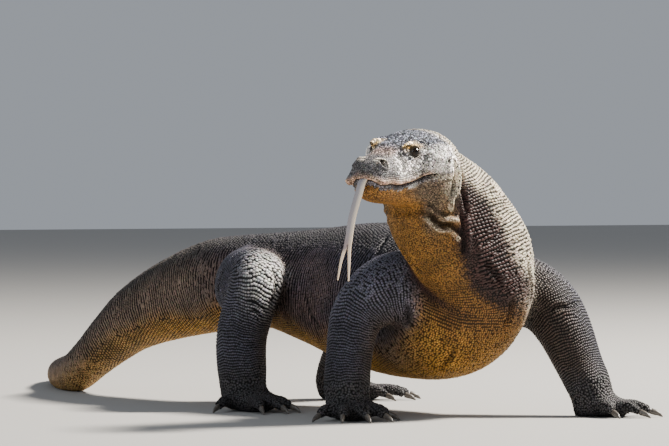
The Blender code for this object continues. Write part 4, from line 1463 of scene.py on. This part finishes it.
def skin_group():
    """Colour and roughness of skin from its tint, the height on a scale and fine mottling."""
    group = bpy.data.node_groups.new("reptile_skin", "ShaderNodeTree")
    face = group.interface
    face.new_socket(name="Tint", in_out="INPUT", socket_type="NodeSocketColor")
    face.new_socket(name="Crest", in_out="INPUT", socket_type="NodeSocketFloat")
    face.new_socket(name="Gap", in_out="INPUT", socket_type="NodeSocketFloat")
    face.new_socket(name="Color", in_out="OUTPUT", socket_type="NodeSocketColor")
    face.new_socket(name="Roughness", in_out="OUTPUT", socket_type="NodeSocketFloat")
    face.new_socket(name="Height", in_out="OUTPUT", socket_type="NodeSocketFloat")
    nodes, links = group.nodes, group.links
    given, put = nodes.new("NodeGroupInput"), nodes.new("NodeGroupOutput")
    where = nodes.new("ShaderNodeTexCoord")

    def noise(scale, detail):
        node = nodes.new("ShaderNodeTexNoise")
        node.inputs["Scale"].default_value = scale
        node.inputs["Detail"].default_value = detail
        links.new(where.outputs["Object"], node.inputs["Vector"])
        return node.outputs["Fac"]

    def spread(value, low, high, to_low, to_high):
        node = nodes.new("ShaderNodeMapRange")
        ends = {"From Min": low, "From Max": high, "To Min": to_low, "To Max": to_high}
        for name, number in ends.items():
            node.inputs[name].default_value = number
        links.new(value, node.inputs["Value"])
        return node.outputs["Result"]

    def times(a, b):
        node = nodes.new("ShaderNodeMath")
        node.operation = "MULTIPLY"
        links.new(a, node.inputs[0])
        links.new(b, node.inputs[1])
        return node.outputs[0]

    patches = spread(noise(26, 3), 0.35, 0.65, 0.78, 1.22)
    specks = spread(noise(520, 2), 0.3, 0.7, 0.86, 1.14)
    rise = nodes.new("ShaderNodeMix")
    rise.data_type = "FLOAT"
    links.new(spread(given.outputs["Crest"], 0.10, 0.9, 0.0, 1.0), rise.inputs["Factor"])
    links.new(given.outputs["Gap"], rise.inputs["A"])
    rise.inputs["B"].default_value = 1.25
    value = times(times(patches, specks), rise.outputs["Result"])
    shade = nodes.new("ShaderNodeVectorMath")
    shade.operation = "SCALE"
    links.new(given.outputs["Tint"], shade.inputs[0])
    links.new(value, shade.inputs["Scale"])
    links.new(shade.outputs["Vector"], put.inputs["Color"])
    links.new(spread(given.outputs["Crest"], 0.2, 1.0, 0.68, 0.34), put.inputs["Roughness"])
    links.new(noise(900, 3), put.inputs["Height"])
    return group


reptile_skin = skin_group()


def skin_material(name, gap):
    made, nodes, links, shader = new_material(name)
    effect = nodes.new("ShaderNodeGroup")
    effect.node_tree = reptile_skin
    effect.inputs["Gap"].default_value = gap
    for attribute, socket, output in (("tint", "Tint", "Color"), ("crest", "Crest", "Fac")):
        read = nodes.new("ShaderNodeAttribute")
        read.attribute_name = attribute
        links.new(read.outputs[output], effect.inputs[socket])
    add_bump(nodes, links, shader, effect.outputs["Height"], 0.0004, 0.5)
    links.new(effect.outputs["Color"], shader.inputs["Base Color"])
    links.new(effect.outputs["Roughness"], shader.inputs["Roughness"])
    shader.inputs["Specular IOR Level"].default_value = 0.22
    return made


GAP_SHADE = 0.07  # how dark the skin between scales is, as a share of its tint
hide.data.materials.clear()
hide.data.materials.append(skin_material("bare_hide", GAP_SHADE))
scale_skin = skin_material("beaded_scales", GAP_SHADE)
APART = ("claw", "eye", "tongue")
FLESH = [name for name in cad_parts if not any(word in name for word in APART)]
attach(hide, "root")
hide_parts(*FLESH)
for piece in coat:
    piece.data.materials.append(scale_skin)
    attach(piece, "root")

# ================================================================ eyes
# A round dark brown eye with a black pupil, wet all over, held by the lids of the hide.
# Each ball is turned from one profile, with the clear front standing a little proud.


# colours from the middle of the pupil out, by distance in eye radii
EYE_COLOURS = (
    (0.00, (0.002, 0.002, 0.002)),
    (0.36, (0.002, 0.002, 0.002)),
    (0.40, (0.016, 0.008, 0.004)),
    (0.60, (0.020, 0.011, 0.006)),
    (0.70, (0.006, 0.004, 0.003)),
    (0.80, (0.030, 0.020, 0.015)),
)


def eye_material(name, centre, gaze):
    made, nodes, links, shader = new_material(name)
    where = nodes.new("ShaderNodeTexCoord")
    away = nodes.new("ShaderNodeVectorMath")
    away.operation = "DISTANCE"
    away.inputs[1].default_value = tuple(centre + gaze * EYE_RADIUS * 1.04)
    links.new(where.outputs["Object"], away.inputs[0])
    radii = nodes.new("ShaderNodeMath")
    radii.operation = "MULTIPLY"
    radii.inputs[1].default_value = 1 / EYE_RADIUS
    links.new(away.outputs["Value"], radii.inputs[0])
    ramp = colour_ramp(nodes, *EYE_COLOURS)
    links.new(radii.outputs[0], ramp.inputs["Fac"])
    links.new(ramp.outputs["Color"], shader.inputs["Base Color"])
    shader.inputs["Roughness"].default_value = 0.08
    shader.inputs["Specular IOR Level"].default_value = 0.25
    return made


for name, sign in (("left_eye", 1), ("right_eye", -1)):
    centre = in_head(EYE_BACK, sign * EYE_SIDE, EYE_UP)
    gaze = unit(AXES.T @ np.array((-0.48, sign * 0.88, 0.0)))
    bpy.ops.object.select_all(action="DESELECT")
    bpy.ops.mesh.primitive_uv_sphere_add(segments=48, ring_count=32, radius=EYE_RADIUS - 0.0002)
    ball = bpy.context.object
    ball.name = ball.data.name = name + "_ball"
    points = points_of(ball)
    bulge = 1 + 0.055 * ease(unit(points)[:, 2], 0.80, 0.97)
    points = points * bulge[:, None]
    turn = np.array(Vector((0, 0, 1)).rotation_difference(Vector(gaze)).to_matrix())
    set_points(ball, points @ turn.T + centre)
    shade_smooth(ball)
    ball.data.materials.append(eye_material(name + "_iris", centre, gaze))
    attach(ball, "root")
    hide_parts(name)

# ================================================================ tongue
# A long flat tongue of moist flesh, pale grey at the root and pink towards its two fine tips.
# The band and the tines are lofted and joined into one skin.

TONGUE_WIDTH, TONGUE_THICKNESS = 0.0180, 0.0055
# the warm cream of one edge and the tips is painted light, the cool grey of the other edge painted
# shade
TONGUE_SHADED, TONGUE_LIT = (0.21, 0.20, 0.225), (0.95, 0.78, 0.56)
# widths of the band at each of its rows, as shares of the full width
BAND_SHARES = (1, 1, 1, 0.98, 0.92, 0.86)
# a tine: how far aside, forward offsets from the fork and half width and half height at each row
TINE = (
    (0.0042, (0.002, 0, 0.012), 0.0038, 0.0024),
    (0.0048, (-0.001, 0.001, -0.006), 0.0036, 0.0024),
    (0.0090, (-0.005, 0.003, -0.034), 0.0028, 0.0020),
    (0.0120, (-0.009, 0.004, -0.070), 0.0014, 0.0012),
)


def tongue_rows():
    """Centre line of the tongue's band: out of the mouth, over the lip and down."""
    bend = in_head(-0.020, 0.001, -0.026)
    fork = bend + np.array((-0.017, 0.012, -0.098))
    middle = (bend + fork) / 2 + np.array((-0.003, 0.001, 0))
    inside = [in_head(0.030, 0, 0), in_head(0.008, 0, 0), in_head(-0.008, 0.001, -0.005)]
    return inside + [bend, middle, fork]


def make_tongue():
    """The band and its two tines in one skin, with how far across it each point lies."""
    half, thick = TONGUE_WIDTH / 2, TONGUE_THICKNESS / 2
    line = tongue_rows()
    up = -AXES[0] + np.array((0, 0, 0.35))
    rows = [(*point, half * share, thick, thick) for point, share in zip(line, BAND_SHARES)]
    pieces = [Limb("tongue_band", rows, up, 2.6).build(24, 0.002)]
    fork = line[-1]
    for sign in (-1, 1):
        rows = []
        for aside, shift, wide, high in TINE:
            rows.append((*(fork + AXES[1] * sign * aside + np.array(shift)), wide, high, high))
        pieces.append(Limb("tine", rows, up).build(16, 0.002))
    made = one_skin(pieces, "forked_tongue", 0.0007, 3)
    shade_smooth(made)
    points = points_of(made)
    line = np.array(line)
    middle = [np.interp(-points[:, 2], -line[2:, 2], line[2:, k]) for k in range(3)]
    aside = (points - np.stack(middle, axis=1)) @ AXES[1] / (half * 1.5)
    tip = ease(fork[2] - points[:, 2], 0.0, 0.02)
    across = made.data.attributes.new("across", "FLOAT", "POINT")
    across.data.foreach_set("value", 0.5 + 0.5 * aside * (1 - tip) + 0.35 * tip)
    return made


def tongue_material():
    """Pink at the tips and grey at the root, with painted light, warm cream, on one edge and the tips,
    and painted shade, cool grey, on the other.
    """
    made, nodes, links, shader = new_material("moist_tongue")
    where = nodes.new("ShaderNodeTexCoord")
    split = nodes.new("ShaderNodeSeparateXYZ")
    links.new(where.outputs["Object"], split.inputs[0])
    height = nodes.new("ShaderNodeMapRange")
    fork_z = float(tongue_rows()[-1][2])
    height.inputs["From Min"].default_value = fork_z - 0.06
    height.inputs["From Max"].default_value = fork_z + 0.10
    links.new(split.outputs["Z"], height.inputs["Value"])
    upward = colour_ramp(
        nodes,
        (0.00, (0.62, 0.36, 0.27)),
        (0.38, (0.66, 0.43, 0.35)),
        (0.55, (0.60, 0.52, 0.50)),
        (1.00, (0.55, 0.50, 0.49)),
    )
    links.new(height.outputs["Result"], upward.inputs["Fac"])
    across = nodes.new("ShaderNodeAttribute")
    across.attribute_name = "across"
    sideways = colour_ramp(nodes, (0.50, TONGUE_SHADED), (0.80, TONGUE_LIT))
    links.new(across.outputs["Fac"], sideways.inputs["Fac"])
    both = nodes.new("ShaderNodeMix")
    both.data_type = "RGBA"
    both.inputs["Factor"].default_value = 0.72
    links.new(upward.outputs["Color"], both.inputs["A"])
    links.new(sideways.outputs["Color"], both.inputs["B"])
    grain = nodes.new("ShaderNodeTexNoise")
    grain.inputs["Scale"].default_value = 700
    links.new(where.outputs["Object"], grain.inputs["Vector"])
    add_bump(nodes, links, shader, grain.outputs["Fac"], 0.0003, 0.4)
    links.new(both.outputs["Result"], shader.inputs["Base Color"])
    shader.inputs["Roughness"].default_value = 0.36
    return made


tongue = make_tongue()
tongue.data.materials.append(tongue_material())
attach(tongue, "root")
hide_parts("tongue")

# ================================================================ claws
# Twenty curved claws of dark horn, one to a toe, flattened a little from side to side.
# Each is lofted from the flat end of its toe out to its point.

GAP, CLAW_LENGTH, CLAW_RADIUS, CLAW_DROP = 0.0004, 0.027, 0.0062, math.radians(18)
# share of the length, share of the radius and lift at each row of a claw
CLAW_CURVE = ((0, 1, 0), (0.3, 0.94, 0), (0.6, 0.7, -0.0004), (0.84, 0.4, -0.0024), (1, 0.1, -0.0050))


def horn_material():
    made, nodes, links, shader = new_material("dark_horn")
    where = nodes.new("ShaderNodeTexCoord")
    grain = nodes.new("ShaderNodeTexNoise")
    grain.inputs["Scale"].default_value = 260
    grain.inputs["Detail"].default_value = 4
    links.new(where.outputs["Object"], grain.inputs["Vector"])
    ramp = colour_ramp(nodes, (0.30, (0.035, 0.030, 0.026)), (0.75, (0.15, 0.13, 0.11)))
    links.new(grain.outputs["Fac"], ramp.inputs["Fac"])
    links.new(ramp.outputs["Color"], shader.inputs["Base Color"])
    shader.inputs["Roughness"].default_value = 0.35
    return made


horn = horn_material()
for leg in LEGS:
    for number, toe in enumerate(TOES[leg.split("_")[1]], 1):
        heading, rows = toe_rows(leg, toe)
        end = np.array(rows[-1][:3])
        direction = unit(heading * math.cos(CLAW_DROP) - np.array((0, 0, math.sin(CLAW_DROP))))
        up = unit(np.array((0, 0, 1)) - direction * direction[2])
        line = []
        for share, thick, lift in CLAW_CURVE:
            radius = CLAW_RADIUS * thick
            centre = end + direction * (GAP + CLAW_LENGTH * share) + up * lift
            centre[2] = max(centre[2], radius + GAP)
            line.append((*centre, radius * 0.8, radius, radius))
        claw = Limb(f"{leg}_claw_horn_{number}", line, up, 2.0).build(16, 0.0015)
        shade_smooth(claw)
        claw.data.materials.append(horn)
        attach(claw, "root")
        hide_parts(f"{leg}_claw_{number}")

# ================================================================ studio
# A plain pale floor, a large soft light high on the right and a dim even sky.

VIEW_TURN, VIEW_DROP, VIEW_FAR = math.radians(38), math.radians(0.5), 8.0
VIEW_WIDTH = 1.338  # metres across the picture at the animal
SENSOR = 36  # millimetres

bpy.ops.object.select_all(action="DESELECT")
bpy.ops.mesh.primitive_plane_add(size=60)
floor = bpy.context.object
floor.name = "floor"
paper, _, _, shader = new_material("pale_floor")
shader.inputs["Base Color"].default_value = (0.36, 0.35, 0.335, 1)
shader.inputs["Roughness"].default_value = 0.9
floor.data.materials.append(paper)

right = np.array((math.cos(VIEW_TURN), -math.sin(VIEW_TURN), 0))
away = np.array((math.sin(VIEW_TURN), math.cos(VIEW_TURN), 0))
look = unit(away * math.cos(VIEW_DROP) - np.array((0, 0, math.sin(VIEW_DROP))))
middle = np.array((-0.24, 0, 0.39)) + SHIFT


def lamp(name, shift, size, power, colour):
    """A soft square light, placed right, away and up from the middle of the view and aimed at it."""
    place = middle + right * shift[0] + away * shift[1] + np.array((0, 0, shift[2]))
    light = bpy.data.lights.new(name, "AREA")
    light.size = size
    light.energy = power
    light.color = colour
    obj = bpy.data.objects.new(name, light)
    bpy.context.scene.collection.objects.link(obj)
    obj.location = place
    obj.rotation_euler = Vector(middle - place).to_track_quat("-Z", "Y").to_euler()


lamp("key", (6.2, 1.7, 6.6), 1.6, 4350, (1.0, 0.94, 0.85))
lamp("fill", (-2.4, -3.6, 1.8), 2.5, 65, (0.88, 0.95, 1.0))
sky = bpy.data.worlds.new("studio")
sky.use_nodes = True
sky.node_tree.nodes["Background"].inputs["Color"].default_value = (0.80, 0.86, 0.95, 1)
sky.node_tree.nodes["Background"].inputs["Strength"].default_value = 0.41
bpy.context.scene.world = sky

camera = bpy.data.cameras.new("view")
camera.sensor_width = SENSOR
camera.lens = SENSOR * VIEW_FAR / VIEW_WIDTH
camera.clip_end = 200
eye = bpy.data.objects.new("view", camera)
bpy.context.scene.collection.objects.link(eye)
eye.location = middle - look * VIEW_FAR
eye.rotation_euler = Vector(look).to_track_quat("-Z", "Y").to_euler()
bpy.context.scene.camera = eye
